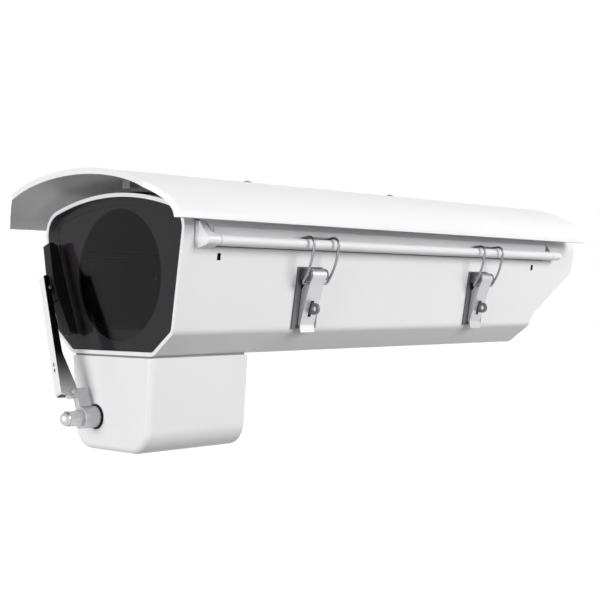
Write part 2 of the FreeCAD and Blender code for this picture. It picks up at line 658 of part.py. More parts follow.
def rear_cap():
    solid = house(REAR_SEAM_Y, BACK_Y).common(cap_prism(0))
    inside = house(REAR_SEAM_Y - OVERRUN, BACK_Y - WALL, -WALL).common(cap_prism(WALL))
    bore = house(REAR_SEAM_Y - OVERRUN, BACK_Y - WALL, -STEP_IN - WALL).common(wide(CAP_BORE_X))
    low_inner = inside.common(below(FLANGE_TOP_Z))
    high_inner = bore.common(above(CAP_HIGH_Z)).common(cap_prism(WALL))
    solid = cut(solid, [cap_roof_step(), low_inner, high_inner])
    stub = rail(COVER_END_Y + SEAM_GAP, NOSE_Y).fuse(Part.makeSphere(RAIL_R, V(RAIL_X, NOSE_Y, RAIL_Z)))
    flange = bolted_flange(REAR_SEAM_Y, REAR_SEAM_Y + FLANGE_LEN).common(cap_prism(0))
    solid = fuse([solid, flange, stub, mirror_x(stub)])
    holes = [rod(p, Y_AXIS, FRAME_SCREW_R + M3_CLEAR, FLANGE_LEN + 2 * OVERRUN)
             for p in frame_screw_points(REAR_SCREWS, REAR_SEAM_Y - OVERRUN)]
    holes += [rod(V(x, BACK_Y - WALL - OVERRUN, GLAND_Z), Y_AXIS, GLAND_THREAD_R, WALL + 2 * OVERRUN)
              for x in GLAND_X]
    return cut(solid, holes).removeSplitter()


def frame_screws():
    """Screws of both end frames, heads on the flanges."""
    screws = []
    for p in frame_screw_points(FRONT_SCREWS, FRONT_SEAM_Y - FLANGE_LEN):
        shank = rod(p, Y_AXIS, FRAME_SCREW_R, FRAME_SCREW_LEN)
        screws.append(shank.fuse(rod(p - Y_AXIS * FRAME_HEAD_H, Y_AXIS, FRAME_HEAD_R, FRAME_HEAD_H)))
    for p in frame_screw_points(REAR_SCREWS, REAR_SEAM_Y + FLANGE_LEN):
        shank = rod(p, -Y_AXIS, FRAME_SCREW_R, FRAME_SCREW_LEN)
        screws.append(shank.fuse(rod(p, Y_AXIS, FRAME_HEAD_R, FRAME_HEAD_H)))
    return screws


# Cover, seals and sunshield

def top_cover():
    low = RAIL_Z - RAIL_R
    start = FRONT_SEAM_Y + SEAM_GAP
    outline = [
        V(-FAR, LAP_Y, FAR),
        V(-FAR, LAP_Y, LAP_Z),
        V(-FAR, start - LAP_SLOPE_LEN, LAP_Z),
        V(-FAR, start, LAP_SLOPE_Z),
        V(-FAR, start, low),
        V(-FAR, COVER_END_Y, low),
        V(-FAR, COVER_END_Y, FAR),
    ]
    skin = house(LAP_Y, COVER_END_Y, 0, COVER_CROWN)
    skin = skin.cut(house(LAP_Y - OVERRUN, COVER_END_Y + OVERRUN, -COVER_WALL, COVER_CROWN))
    skin = skin.common(plate(outline, [0] * 7, V(2 * FAR, 0, 0)))
    ledge = house(start, REAR_SEAM_Y - 2 * SEAM_GAP, -SKIN, COVER_CROWN).cut(
        house(start - OVERRUN, COVER_END_Y, -COVER_WALL - FLANGE_IN, COVER_CROWN))
    ledge = ledge.common(above(LEDGE_Z)).common(below(LEDGE_Z + FLANGE_T))
    ridge = rail(start, COVER_END_Y).fuse(raised_band(start, COVER_END_Y))
    far_ridge = mirror_x(ridge)
    for y in HINGE_Y:
        half = HINGE_LEN / 2 + KNUCKLE_GAP + SEAM_GAP
        far_ridge = far_ridge.cut(block((-FAR, -side_x(RAIL_Z) - EDGE), (y - half, y + half), (0, FAR)))
    solid = fuse([skin, ledge, ridge, far_ridge])
    holes = [rod(V(0, y, 0), Z_AXIS, SHIELD_SCREW_R, FAR) for y in SHIELD_FIX_Y]
    for p in hinge_screw_points(HINGE_SCREW_TOP_Z, HINGE_SCREW_TOP_STEP):
        deep = WALL + 2 * OVERRUN
        holes.append(mirror_x(rod(p - SIDE_OUT * (WALL + OVERRUN), SIDE_OUT, M3_R, deep)))
    return cut(solid, holes).removeSplitter()


def side_gaskets():
    x_out = side_x(LEDGE_Z) - WALL - SEAL_INSET
    y = (FRONT_SEAM_Y + SEAL_SET, REAR_SEAM_Y - SEAL_SET)
    strip = block((x_out - SEAL_W, x_out), y, (LEDGE_Z - SEAL_T - SEAT_PLAY, LEDGE_Z - SEAT_PLAY))
    return [strip, mirror_x(strip)]


def end_gaskets():
    """Arched seals between the cover and the stepped roofs of both ends."""
    arches = []
    for y in (LAP_Y + SEAL_SET, REAR_SEAM_Y + SEAL_SET):
        arch = house(y, y + SEAL_W, -COVER_WALL - 2 * SEAT_PLAY, COVER_CROWN)
        arch = arch.cut(house(y - OVERRUN, y + SEAL_W + OVERRUN, -STEP_IN))
        arches.append(arch.common(wide(END_SEAL_X)).common(above(LAP_Z)))
    return arches


def half_ellipse(y, a, b):
    """Arch from +X over the crown to -X."""
    centre = V(0, y, SHIELD_BASE_Z)
    ellipse = Part.Ellipse(centre + X_AXIS * a, centre + Z_AXIS * b, centre)
    return Part.ArcOfEllipse(ellipse, 0, math.pi).toShape()


def sunshield():
    outer = half_ellipse(SHIELD_FRONT_Y, SHIELD_A, SHIELD_B)
    inner = half_ellipse(SHIELD_FRONT_Y, SHIELD_A - SHIELD_T, SHIELD_B - SHIELD_T)
    feet = [Part.LineSegment(V(s * SHIELD_A, SHIELD_FRONT_Y, SHIELD_BASE_Z),
                             V(s * (SHIELD_A - SHIELD_T), SHIELD_FRONT_Y, SHIELD_BASE_Z)).toShape()
            for s in (1, -1)]
    face = Part.Face(Part.Wire(Part.__sortEdges__([outer, inner] + feet)))
    solid = face.extrude(V(0, SHIELD_BACK_Y - SHIELD_FRONT_Y, 0))
    clip = [
        V(CLIP_X, SHIELD_FRONT_Y - OVERRUN, 0),
        V(CLIP_X, SHIELD_FRONT_Y, 0),
        V(SHIELD_A, CLIP_Y, 0),
        V(SHIELD_A + OVERRUN, CLIP_Y, 0),
        V(SHIELD_A + OVERRUN, SHIELD_FRONT_Y - OVERRUN, 0),
    ]
    wedge = plate(clip, [0] * 5, V(0, 0, FAR))
    solid = cut(solid, [wedge, mirror_x(wedge)])
    holes = [rod(V(0, y, SHIELD_BASE_Z), Z_AXIS, SHIELD_SCREW_R + M3_CLEAR, FAR) for y in SHIELD_FIX_Y]
    return cut(solid, holes)


def shield_spacers():
    """Sleeves that fill the gap between the cover and the sunshield."""
    posts = []
    for y in SHIELD_FIX_Y:
        post = tube(V(0, y, COVER_CROWN - SPACER_R), Z_AXIS, SPACER_R, SPACER_BORE_R, FAR)
        post = post.common(sunshield_room()).cut(house(y - 2 * SPACER_R, y + 2 * SPACER_R, 0, COVER_CROWN))
        posts.append(post)
    return posts


def sunshield_room():
    """Space under the sunshield."""
    arch = half_ellipse(-FAR, SHIELD_A - SHIELD_T, SHIELD_B - SHIELD_T)
    foot = Part.LineSegment(arch.Vertexes[0].Point, arch.Vertexes[-1].Point).toShape()
    return Part.Face(Part.Wire([arch, foot])).extrude(V(0, 2 * FAR, 0))


def shield_rest():
    half = REST_LEN / 2
    pad = block((-REST_W / 2, REST_W / 2), (REST_Y - half, REST_Y + half), (COVER_CROWN - REST_W, FAR))
    return pad.common(sunshield_room()).cut(house(REST_Y - REST_LEN, REST_Y + REST_LEN, 0, COVER_CROWN))


def shield_screws():
    """Domed heads on the crown, with shanks down to the nuts."""
    crown = SHIELD_BASE_Z + SHIELD_B
    tail = COVER_CROWN - COVER_WALL - SEAT_PLAY - SHIELD_NUT_LEN - OVERRUN
    screws = []
    for y in SHIELD_FIX_Y:
        dome_r = (SHIELD_HEAD_R ** 2 + SHIELD_HEAD_H ** 2) / (2 * SHIELD_HEAD_H)
        dome = Part.makeSphere(dome_r, V(0, y, crown + SHIELD_HEAD_H - dome_r)).common(above(crown))
        shank = rod(V(0, y, tail), Z_AXIS, SHIELD_SCREW_R, crown + SHIELD_HEAD_H / 2 - tail)
        screws.append(dome.fuse(shank))
    return screws


def shield_nuts():
    nuts = []
    low = COVER_CROWN - COVER_WALL - SEAT_PLAY - SHIELD_NUT_LEN
    for y in SHIELD_FIX_Y:
        nut = hexagon(V(0, y, low), Z_AXIS, SHIELD_NUT_AF, SHIELD_NUT_LEN)
        nuts.append(nut.cut(rod(V(0, y, 0), Z_AXIS, SHIELD_SCREW_R, FAR)))
    return nuts


# Hinges, drawn on the +X side and mirrored

def hinge_screw_points(z, step):
    return [on_side(0, z, y + dy) for y in HINGE_Y for dy in (-step, step)]


def hinge_leaf(y, z_low, z_high, length, web):
    """Plate on the side, with a web that runs out to the knuckle."""
    points = [on_side(0, z_low, y), on_side(LEAF_T, z_low, y),
              on_side(LEAF_T, z_high, y), on_side(0, z_high, y)]
    flat = plate(points, [0] * 4, V(0, length, 0))
    arm = plate([V(x, y, z) for x, z in web], [0] * len(web), V(0, length, 0))
    knuckle = rod(V(RAIL_X, y, RAIL_Z), Y_AXIS, RAIL_R, length)
    return flat.fuse(arm).fuse(knuckle)


def leaf_holes(z, step):
    return [rod(p - SIDE_OUT, SIDE_OUT, M3_R, LEAF_T + 2 * OVERRUN) for p in hinge_screw_points(z, step)]


def hinge_body_leaves():
    """Leaves on the shell, each with two outer knuckles."""
    foot = RAIL_Z - RAIL_R - HINGE_WEB_DROP
    knee = RAIL_R / math.sqrt(2)
    web = (
        (side_x(foot) + EDGE, foot),
        (side_x(foot) + LEAF_T, foot - HINGE_WEB_DROP),
        (RAIL_X + knee, RAIL_Z - knee),
        (RAIL_X - OVERRUN, RAIL_Z - RAIL_R + KNUCKLE_GAP),
        (side_x(foot) + 2 * KNUCKLE_GAP, foot + HINGE_WEB_DROP / 2),
    )
    leaves = []
    for y in HINGE_Y:
        leaf = hinge_leaf(y - HINGE_LEN / 2, LEAF_LOW_Z, foot, HINGE_LEN, web)
        gap = KNUCKLE_LEN / 2 + KNUCKLE_GAP
        room = block((side_x(RAIL_Z), FAR), (y - gap, y + gap), (foot, FAR))
        room = room.fuse(rod(V(RAIL_X, y - gap, RAIL_Z), Y_AXIS, RAIL_R + 2 * KNUCKLE_GAP, 2 * gap))
        pin = rod(V(RAIL_X, y - FAR, RAIL_Z), Y_AXIS, HINGE_PIN_R, 2 * FAR)
        holes = leaf_holes(HINGE_SCREW_LOW_Z, HINGE_SCREW_LOW_STEP)
        leaves.append(mirror_x(cut(leaf, [room, pin] + holes)))
    return leaves


def hinge_cover_leaves():
    """Leaves on the cover, each with the middle knuckle."""
    top = RAIL_NECK_TOP + 2 * OVERRUN + SEAM_GAP
    low = COVER_LEAF_LOW_Z
    web = (
        (side_x(low), low),
        (RAIL_X, low),
        (RAIL_X, RAIL_Z + RAIL_R - KNUCKLE_GAP),
        (side_x(top) + LEAF_T, top),
        (side_x(top), top),
    )
    leaves = []
    for y in HINGE_Y:
        leaf = hinge_leaf(y - KNUCKLE_LEN / 2, low, COVER_LEAF_TOP_Z, KNUCKLE_LEN, web)
        pin = rod(V(RAIL_X, y - FAR, RAIL_Z), Y_AXIS, HINGE_PIN_R + RUN_PLAY, 2 * FAR)
        holes = leaf_holes(HINGE_SCREW_TOP_Z, HINGE_SCREW_TOP_STEP)
        leaves.append(mirror_x(cut(leaf, [pin] + holes)))
    return leaves


def hinge_pins():
    half = HINGE_LEN / 2
    return [rod(V(-RAIL_X, y - half, RAIL_Z), Y_AXIS, HINGE_PIN_R, HINGE_LEN) for y in HINGE_Y]


def hinge_screws(z, step):
    screws = []
    for p in hinge_screw_points(z, step):
        foot = p + SIDE_OUT * LEAF_T
        screw = rod(foot, SIDE_OUT, M3_HEAD_R, HINGE_HEAD_H).fuse(rod(foot, -SIDE_OUT, M3_R, LEAF_T + WALL))
        screws.append(mirror_x(screw))
    return screws


# Latches

LEVER_PIVOT = on_side(PIVOT_OFF, PIVOT_Z)
BAIL_TURN_RAD = math.radians(180 - BAIL_TURN)
BAIL_PIVOT = LEVER_PIVOT - V(math.cos(BAIL_TURN_RAD), 0, math.sin(BAIL_TURN_RAD)) * BAIL_ARM


def across(points, y):
    """The same points of a side view, at a station."""
    return [V(p.x, y, p.z) for p in points]


def latch_base(y):
    points = [on_side(0, BASE_LOW_Z), on_side(BASE_T, BASE_LOW_Z),
              on_side(BASE_T, BASE_TOP_Z), on_side(0, BASE_TOP_Z)]
    base = plate(across(points, y - BASE_HALF), [0] * 4, V(0, 2 * BASE_HALF, 0))
    low, high = PIVOT_Z - BARREL_R, PIVOT_Z + BARREL_R
    ear = [on_side(EDGE, high), on_side(EDGE, low), on_side(PIVOT_OFF, low), on_side(PIVOT_OFF, high)]
    inner = LEVER_HALF + EAR_GAP
    for y0 in (y + inner, y - inner - EAR_T):
        web = plate(across(ear, y0), [0] * 4, V(0, EAR_T, 0))
        base = base.fuse(web).fuse(rod(V(LEVER_PIVOT.x, y0, LEVER_PIVOT.z), Y_AXIS, BARREL_R, EAR_T))
    base = base.fuse(padlock_eye(y))
    holes = [rod(on_side(-OVERRUN, z, y + dy), SIDE_OUT, LATCH_SCREW_R, BASE_T + 2 * OVERRUN)
             for z in LATCH_SCREW_Z for dy in (-LATCH_SCREW_Y, LATCH_SCREW_Y)]
    holes.append(rod(V(LEVER_PIVOT.x, y - BASE_HALF, LEVER_PIVOT.z), Y_AXIS, LATCH_PIN_R, 2 * BASE_HALF))
    return cut(base, holes).removeSplitter()


def padlock_eye(y):
    """Tab that stands through the lever's slot."""
    centre = on_side(EYE_OFF, EYE_Z, y - EYE_T / 2)
    low, high = EYE_Z - EYE_R, EYE_Z + EYE_R
    foot = [on_side(EDGE, high), on_side(EDGE, low), on_side(EYE_OFF, low), on_side(EYE_OFF, high)]
    tab = plate(across(foot, y - EYE_T / 2), [0] * 4, V(0, EYE_T, 0))
    tab = tab.fuse(rod(centre, Y_AXIS, EYE_R, EYE_T))
    return tab.cut(rod(centre - Y_AXIS, Y_AXIS, EYE_HOLE_R, EYE_T + 2 * OVERRUN))


def latch_lever(y):
    """Channel lever, closed outside and open towards the base."""
    outer = [on_side(LEVER_MID_OFF, LEVER_MID_Z), on_side(LEVER_END_OFF, LEVER_END_Z),
             on_side(LIP_OFF, LIP_Z)]
    inner = [p - SIDE_OUT * LEVER_T for p in outer]
    top = LEVER_PIVOT + SIDE_OUT * BARREL_R
    top_inner = LEVER_PIVOT + SIDE_OUT * (BARREL_R - LEVER_T)
    loop = [top] + outer + inner[::-1] + [top_inner]
    radii = [0, LEVER_BEND_R, LIP_BEND_R, 0, 0, LIP_BEND_R + LEVER_T, LEVER_BEND_R + LEVER_T, 0]
    y0 = y - LEVER_HALF
    face = plate(across(loop, y0), radii, V(0, 2 * LEVER_HALF, 0))
    barrel = rod(V(LEVER_PIVOT.x, y0, LEVER_PIVOT.z), Y_AXIS, BARREL_R, 2 * LEVER_HALF)
    behind = BASE_T + CHEEK_GAP
    cheek = [top_inner, inner[0], inner[1] - SIDE_DIR, on_side(behind, LEVER_END_Z),
             on_side(behind, LEVER_MID_Z - BARREL_R), BAIL_PIVOT - SIDE_OUT * (2 * WIRE_R + EAR_GAP),
             LEVER_PIVOT - SIDE_OUT * (BARREL_R / 2)]
    cheeks = [plate(across(cheek, yc), [0] * 7, V(0, LEVER_T, 0))
              for yc in (y0, y + LEVER_HALF - LEVER_T)]
    lever = fuse([face, barrel] + cheeks)
    start = y0 - OVERRUN
    span = 2 * (LEVER_HALF + OVERRUN)
    slot = block((LOW_X, FAR), (y - SLOT_W / 2, y + SLOT_W / 2),
                 (LEVER_PIVOT.z - SLOT_FAR, LEVER_PIVOT.z - SLOT_NEAR))
    pin_hole = rod(V(LEVER_PIVOT.x, start, LEVER_PIVOT.z), Y_AXIS, LATCH_PIN_R + RUN_PLAY, span)
    wire_hole = rod(V(BAIL_PIVOT.x, start, BAIL_PIVOT.z), Y_AXIS, WIRE_R + RUN_PLAY, span)
    return cut(lever, [pin_hole, slot, wire_hole])


def latch_pin(y):
    half = LEVER_HALF + EAR_GAP + EAR_T
    return rod(V(LEVER_PIVOT.x, y - half, LEVER_PIVOT.z), Y_AXIS, LATCH_PIN_R, 2 * half)


def bail_points():
    """Side view of the wire: knee of the leg, hook arc over the rail and the bar behind it."""
    centre = V(RAIL_X + HOOK_OUT, 0, RAIL_Z)
    turns = [math.radians(t) for t in (HOOK_FROM, (HOOK_FROM + HOOK_TURN) / 2, HOOK_TURN)]
    arc = [centre + V(math.cos(t), 0, math.sin(t)) * (RAIL_R + WIRE_R + HOOK_GAP) for t in turns]
    down = V(math.sin(turns[0]), 0, -math.cos(turns[0]))
    leg = BAIL_PIVOT - arc[0]
    knee = arc[0] + down * (leg.Length ** 2 / (2 * leg.dot(down)))
    leave = V(-math.sin(turns[2]), 0, math.cos(turns[2]))
    return knee, arc, arc[2] + leave * HOOK_REACH


def latch_bail(y):
    """Wire from the foot in the lever over leg, hook arc and bar, and back on the other side."""
    knee, arc, bar = bail_points()
    lift = V(0, BAIL_HALF, 0)
    end = V(BAIL_PIVOT.x, LEVER_HALF - 2 * LEVER_T, BAIL_PIVOT.z)
    hook = [p + lift for p in arc]
    middle = V(bar.x, 0, bar.z)
    foot = corner(end, BAIL_PIVOT + lift, knee + lift, BEND_R)
    bow = corner(BAIL_PIVOT + lift, knee + lift, hook[0], KNEE_R)
    turn = corner(hook[2], bar + lift, middle, BEND_R)
    edges = [Part.LineSegment(end, foot[0]), Part.Arc(*foot), Part.LineSegment(foot[2], bow[0]),
             Part.Arc(*bow), Part.LineSegment(bow[2], hook[0]), Part.Arc(*hook),
             Part.LineSegment(hook[2], turn[0]), Part.Arc(*turn), Part.LineSegment(turn[2], middle)]
    profile = Part.Wire(Part.Circle(end, Y_AXIS, WIRE_R).toShape())
    half = Part.Wire([e.toShape() for e in edges]).makePipeShell([profile], True, False)
    whole = half.fuse(half.mirror(V(0, 0, 0), Y_AXIS)).removeSplitter()
    whole.translate(V(0, y, 0))
    return whole


def latch_screws():
    screws = []
    for y in LATCH_Y:
        for z in LATCH_SCREW_Z:
            for dy in (-LATCH_SCREW_Y, LATCH_SCREW_Y):
                foot = on_side(BASE_T, z, y + dy)
                head = rod(foot, SIDE_OUT, LATCH_HEAD_R, LATCH_HEAD_H)
                screws.append(head.fuse(rod(foot, -SIDE_OUT, LATCH_SCREW_R, BASE_T + WALL)))
    return screws


# Wiper drive box

def box_loop(y, grow):
    """Outline of the box, with sides that lean in towards the bottom."""
    points = [V(BOX_TOP_X + grow, y, -BOX_SEAL_T), V(BOX_LOW_X + grow, y, BOX_LOW_Z - grow),
              V(-BOX_LOW_X - grow, y, BOX_LOW_Z - grow), V(-BOX_TOP_X - grow, y, -BOX_SEAL_T)]
    radius = BOX_R + grow
    return points, [0, radius, radius, 0]


def box_screw_points(z):
    x = BOX_TOP_X - BOX_POST_INSET - SKIN
    return [V(s * x, y, z) for s in (1, -1)
            for y in (BOX_FRONT_Y + BOX_POST_INSET + BOX_POST_FRONT, BOX_BACK_Y - BOX_POST_INSET)]


def is_front_upright(edge):
    """Edge between the box's front face and a side."""
    box = edge.BoundBox
    return box.YLength < EDGE and box.YMax < BOX_FRONT_Y + EDGE and box.ZLength > BOX_R + BOX_EDGE_R


def wiper_box():
    length = BOX_BACK_Y - BOX_FRONT_Y
    outer = plate(*box_loop(BOX_FRONT_Y, 0), V(0, length, 0))
    outer = outer.makeFillet(BOX_EDGE_R, [e for e in outer.Edges if is_front_upright(e)])
    inner = plate(*box_loop(BOX_FRONT_Y + BOX_WALL, -BOX_WALL), V(0, length - 2 * BOX_WALL, 0))
    points = box_screw_points(-BOX_SEAL_T)
    posts = [rod(p - Z_AXIS * BOX_POST_H, Z_AXIS, BOX_POST_R, BOX_POST_H) for p in points]
    solid = fuse([outer.cut(inner)] + [p.common(outer) for p in posts])
    grip = BOX_SCREW_GRIP + 2 * OVERRUN
    holes = [rod(p - Z_AXIS * grip, Z_AXIS, M3_R, grip + OVERRUN) for p in points]
    holes.append(rod(V(SPIN_X, BOX_FRONT_Y - OVERRUN, SPIN_Z), Y_AXIS, BUSH_R, BOX_WALL + 2 * OVERRUN))
    return cut(solid, holes).removeSplitter()


def wiper_box_gasket():
    y0, y1 = BOX_FRONT_Y + BOX_WALL + SKIN, BOX_BACK_Y - BOX_SEAL_IN
    x = BOX_TOP_X - BOX_SEAL_IN
    frame = block((-x, x), (y0, y1), (-BOX_SEAL_T, 0))
    frame = frame.cut(block((BOX_SEAL_W - x, x - BOX_SEAL_W), (y0 + BOX_SEAL_W, y1 - BOX_SEAL_W),
                            (-BOX_SEAL_T - OVERRUN, OVERRUN)))
    lugs = [rod(p, Z_AXIS, BOX_POST_R, BOX_SEAL_T) for p in box_screw_points(-BOX_SEAL_T)]
    holes = [rod(p, Z_AXIS, M3_R + M3_CLEAR, BOX_SEAL_T) for p in box_screw_points(-BOX_SEAL_T)]
    return cut(fuse([frame] + lugs), holes)


def wiper_box_screws():
    """Screws from inside the shell, down into the posts of the box."""
    screws = []
    for p in box_screw_points(WALL):
        head = rod(p, Z_AXIS, M3_HEAD_R, M3_HEAD_H)
        screws.append(head.fuse(rod(p, -Z_AXIS, M3_R, WALL + BOX_SEAL_T + BOX_SCREW_GRIP)))
    return screws


GEARBOX_Y = BOX_FRONT_Y + BOX_WALL
GEARBOX_BACK_Y = GEARBOX_Y + GEARBOX_LEN


def gearbox_screw_points():
    inset = GEARBOX_SCREW_IN
    return [V(x, GEARBOX_Y, z) for x in (GEARBOX_X[0] + inset, GEARBOX_X[1] - inset)
            for z in (GEARBOX_Z[0] + inset, GEARBOX_Z[1] - inset)]


def wiper_gearbox():
    case = block(GEARBOX_X, (GEARBOX_Y, GEARBOX_BACK_Y), GEARBOX_Z)
    case = case.makeFillet(GEARBOX_EDGE_R, [e for e in case.Edges if e.BoundBox.YLength > GEARBOX_LEN / 2])
    bore = rod(V(SPIN_X, GEARBOX_Y - OVERRUN, SPIN_Z), Y_AXIS, BUSH_R, BUSH_IN + OVERRUN)
    tail_len = GEARBOX_LEN - GEARBOX_TAIL_WALL
    tail = rod(V(SPIN_X, GEARBOX_Y, SPIN_Z), Y_AXIS, SPINDLE_R + RUN_PLAY, tail_len)
    holes = [rod(p - Y_AXIS, Y_AXIS, M3_R, GEARBOX_LEN + 2 * OVERRUN) for p in gearbox_screw_points()]
    return cut(case, [bore, tail] + holes)


def gearbox_screws():
    """Long screws through the case into the front wall's inner face."""
    screws = []
    for p in gearbox_screw_points():
        back = V(p.x, GEARBOX_BACK_Y, p.z)
        screws.append(rod(p, Y_AXIS, M3_R, GEARBOX_LEN).fuse(rod(back, Y_AXIS, M3_HEAD_R, M3_HEAD_H)))
    return screws


def wiper_motor():
    z = (GEARBOX_Z[0] + GEARBOX_Z[1]) / 2
    body = rod(V(MOTOR_X, GEARBOX_BACK_Y, z), Y_AXIS, MOTOR_R, MOTOR_LEN)
    return body.fuse(rod(V(MOTOR_X, GEARBOX_BACK_Y, z), Y_AXIS, MOTOR_HUB_R, MOTOR_LEN + MOTOR_HUB_LEN))


def spindle_bush():
    ring = tube(V(SPIN_X, BOX_FRONT_Y, SPIN_Z), -Y_AXIS, BUSH_RING_R, SPINDLE_R + RUN_PLAY, BUSH_RING_T)
    sleeve = tube(V(SPIN_X, BOX_FRONT_Y, SPIN_Z), Y_AXIS, BUSH_R, SPINDLE_R + RUN_PLAY, BOX_WALL + BUSH_IN)
    return ring.fuse(sleeve).removeSplitter()


# Wiper, drawn upright above the spindle and then leaned to its parked place

BLADE_PIN_Y = ARM_FACE_TOP_Y + BLADE_PIN_IN


def parked(shape):
    """Lean a shape drawn upright about the spindle."""
    moved = shape.copy()
    moved.rotate(V(SPIN_X, 0, SPIN_Z), Y_AXIS, -PARK_TURN)
    return moved


def at(across, y, reach):
    """Point of the upright wiper."""
    return V(SPIN_X + across, y, SPIN_Z + reach)


def arm_face_y(reach):
    """Depth of the arm's outer face at a reach from the spindle."""
    share = (reach - ARM_LOW) / (ARM_TOP - ARM_LOW)
    return ARM_FACE_LOW_Y + share * (ARM_FACE_TOP_Y - ARM_FACE_LOW_Y)


def wiper_spindle():
    back_y = GEARBOX_BACK_Y - GEARBOX_TAIL_WALL - 2 * OVERRUN
    thick = rod(V(SPIN_X, back_y, SPIN_Z), -Y_AXIS, SPINDLE_R, back_y - HEAD_BACK_Y)
    thread_y = CAP_NUT_TIP_Y + CAP_NUT_WALL
    return thick.fuse(rod(V(SPIN_X, back_y, SPIN_Z), -Y_AXIS, THREAD_R, back_y - thread_y))


def spindle_nut():
    """Hexagon with a domed end, closed in front."""
    nut = hexagon(V(SPIN_X, HEAD_FRONT_Y, SPIN_Z), -Y_AXIS, CAP_NUT_AF, CAP_NUT_LEN)
    dome_r = CAP_NUT_AF / 2 - RUBBER_EDGE_GAP
    nut = nut.fuse(Part.makeSphere(dome_r, V(SPIN_X, CAP_NUT_TIP_Y + dome_r, SPIN_Z)))
    thread_len = HEAD_BACK_Y - CAP_NUT_TIP_Y - CAP_NUT_WALL
    return nut.cut(rod(V(SPIN_X, HEAD_BACK_Y, SPIN_Z), -Y_AXIS, THREAD_R, thread_len))


def wiper_head():
    """Boss on the spindle with a neck that carries the fold pin."""
    boss = rod(at(0, HEAD_BACK_Y, 0), -Y_AXIS, HEAD_R, HEAD_BACK_Y - HEAD_FRONT_Y)
    half = ARM_HALF_LOW - ARM_T - 2 * EAR_GAP
    width = (SPIN_X - half, SPIN_X + half)
    top = SPIN_Z + FOLD_R + FOLD_EAR_R
    neck = block(width, (HEAD_BACK_Y - FOLD_EAR_R, HEAD_FRONT_Y), (SPIN_Z, top))
    link = block(width, (HEAD_FRONT_Y, FOLD_Y), (top - 2 * FOLD_EAR_R, top))
    nose = rod(at(-half, FOLD_Y, FOLD_R), X_AXIS, FOLD_EAR_R, 2 * half)
    head = fuse([boss, neck, link, nose])
    nut_room = rod(at(0, HEAD_FRONT_Y, 0), -Y_AXIS, HEAD_R + EAR_GAP, FAR)
    bore = rod(at(0, 0, 0), -Y_AXIS, THREAD_R, FAR)
    pin = rod(at(-FAR, FOLD_Y, FOLD_R), X_AXIS, FOLD_PIN_R, 2 * FAR)
    return parked(cut(head, [nut_room, bore, pin]).removeSplitter())


def arm_pin():
    half = ARM_HALF_LOW + SKIN
    return parked(rod(at(-half, FOLD_Y, FOLD_R), X_AXIS, FOLD_PIN_R, 2 * half))


def upright(side, radii):
    """Wide prism over a side view of the upright wiper."""
    return plate([p - X_AXIS * FAR for p in side], radii, V(2 * FAR, 0, 0))


def wiper_arm():
    """Tapered channel, open towards the glass."""
    low_y, top_y = arm_face_y(ARM_LOW), arm_face_y(ARM_TOP)
    side = [at(0, low_y, ARM_LOW), at(0, top_y, ARM_TOP), at(0, top_y + ARM_DEPTH, ARM_TOP),
            at(0, arm_face_y(ARM_KNEE) + ARM_KNEE_DEPTH, ARM_KNEE),
            at(0, FOLD_Y + ARM_HEEL_BACK, FOLD_R + ARM_HEEL_UP), at(0, FOLD_Y + ARM_FOOT_BACK, ARM_LOW)]
    plan = [at(-ARM_HALF_LOW, -FAR, ARM_LOW), at(ARM_HALF_LOW, -FAR, ARM_LOW),
            at(ARM_HALF_TOP, -FAR, ARM_TOP), at(-ARM_HALF_TOP, -FAR, ARM_TOP)]
    solid = upright(side, ARM_ROUNDS).common(plate(plan, [0] * 4, V(0, FAR, 0)))
    wall = X_AXIS * ARM_T
    below_foot = Z_AXIS * ARM_LOW
    hollow_plan = [plan[0] + wall - below_foot, plan[1] - wall - below_foot, plan[2] - wall, plan[3] + wall]
    roof = [at(0, arm_face_y(0) + ARM_T, 0), at(0, top_y + ARM_T, ARM_TOP), at(0, 0, ARM_TOP), at(0, 0, 0)]
    hollow = plate(hollow_plan, [0] * 4, V(0, FAR, 0)).common(upright(roof, [0] * 4))
    slots = [block((SPIN_X - ARM_SLOT_HALF, SPIN_X + ARM_SLOT_HALF), (-FAR, top_y),
                   (SPIN_Z + reach, SPIN_Z + reach + ARM_SLOT_LEN)) for reach in ARM_SLOTS]
    fold_hole = rod(at(-FAR, FOLD_Y, FOLD_R), X_AXIS, FOLD_PIN_R + RUN_PLAY, 2 * FAR)
    blade_hole = rod(at(-FAR, BLADE_PIN_Y, BLADE_REACH), X_AXIS, BLADE_PIN_R, 2 * FAR)
    return parked(cut(solid, [hollow, fold_hole, blade_hole] + slots))


def arm_spring():
    """Coil between the fold end and a cross wire in the arm, drawn as a close tube."""
    low = FOLD_R + SPRING_UP
    high = low + SPRING_LEN
    y = arm_face_y((low + high) / 2) + ARM_T + SPRING_R + SPRING_GAP
    coil = tube(at(0, y, low), Z_AXIS, SPRING_R, SPRING_R - 2 * SPRING_WIRE_R, SPRING_LEN)
    cap = rod(at(0, y, high - SPRING_WIRE_R), Z_AXIS, SPRING_R, SPRING_WIRE_R)
    eye = rod(at(0, y, high - SPRING_WIRE_R), Z_AXIS, SPRING_WIRE_R, 2 * SPRING_WIRE_R)
    hook_half = ARM_HALF_TOP - EAR_GAP
    hook = rod(at(-hook_half, y, high), X_AXIS, SPRING_WIRE_R, 2 * hook_half)
    return parked(fuse([coil, cap, eye, hook]))


def blade_pin():
    half = ARM_HALF_TOP + EAR_GAP
    return parked(rod(at(-half, BLADE_PIN_Y, BLADE_REACH), X_AXIS, BLADE_PIN_R, 2 * half))


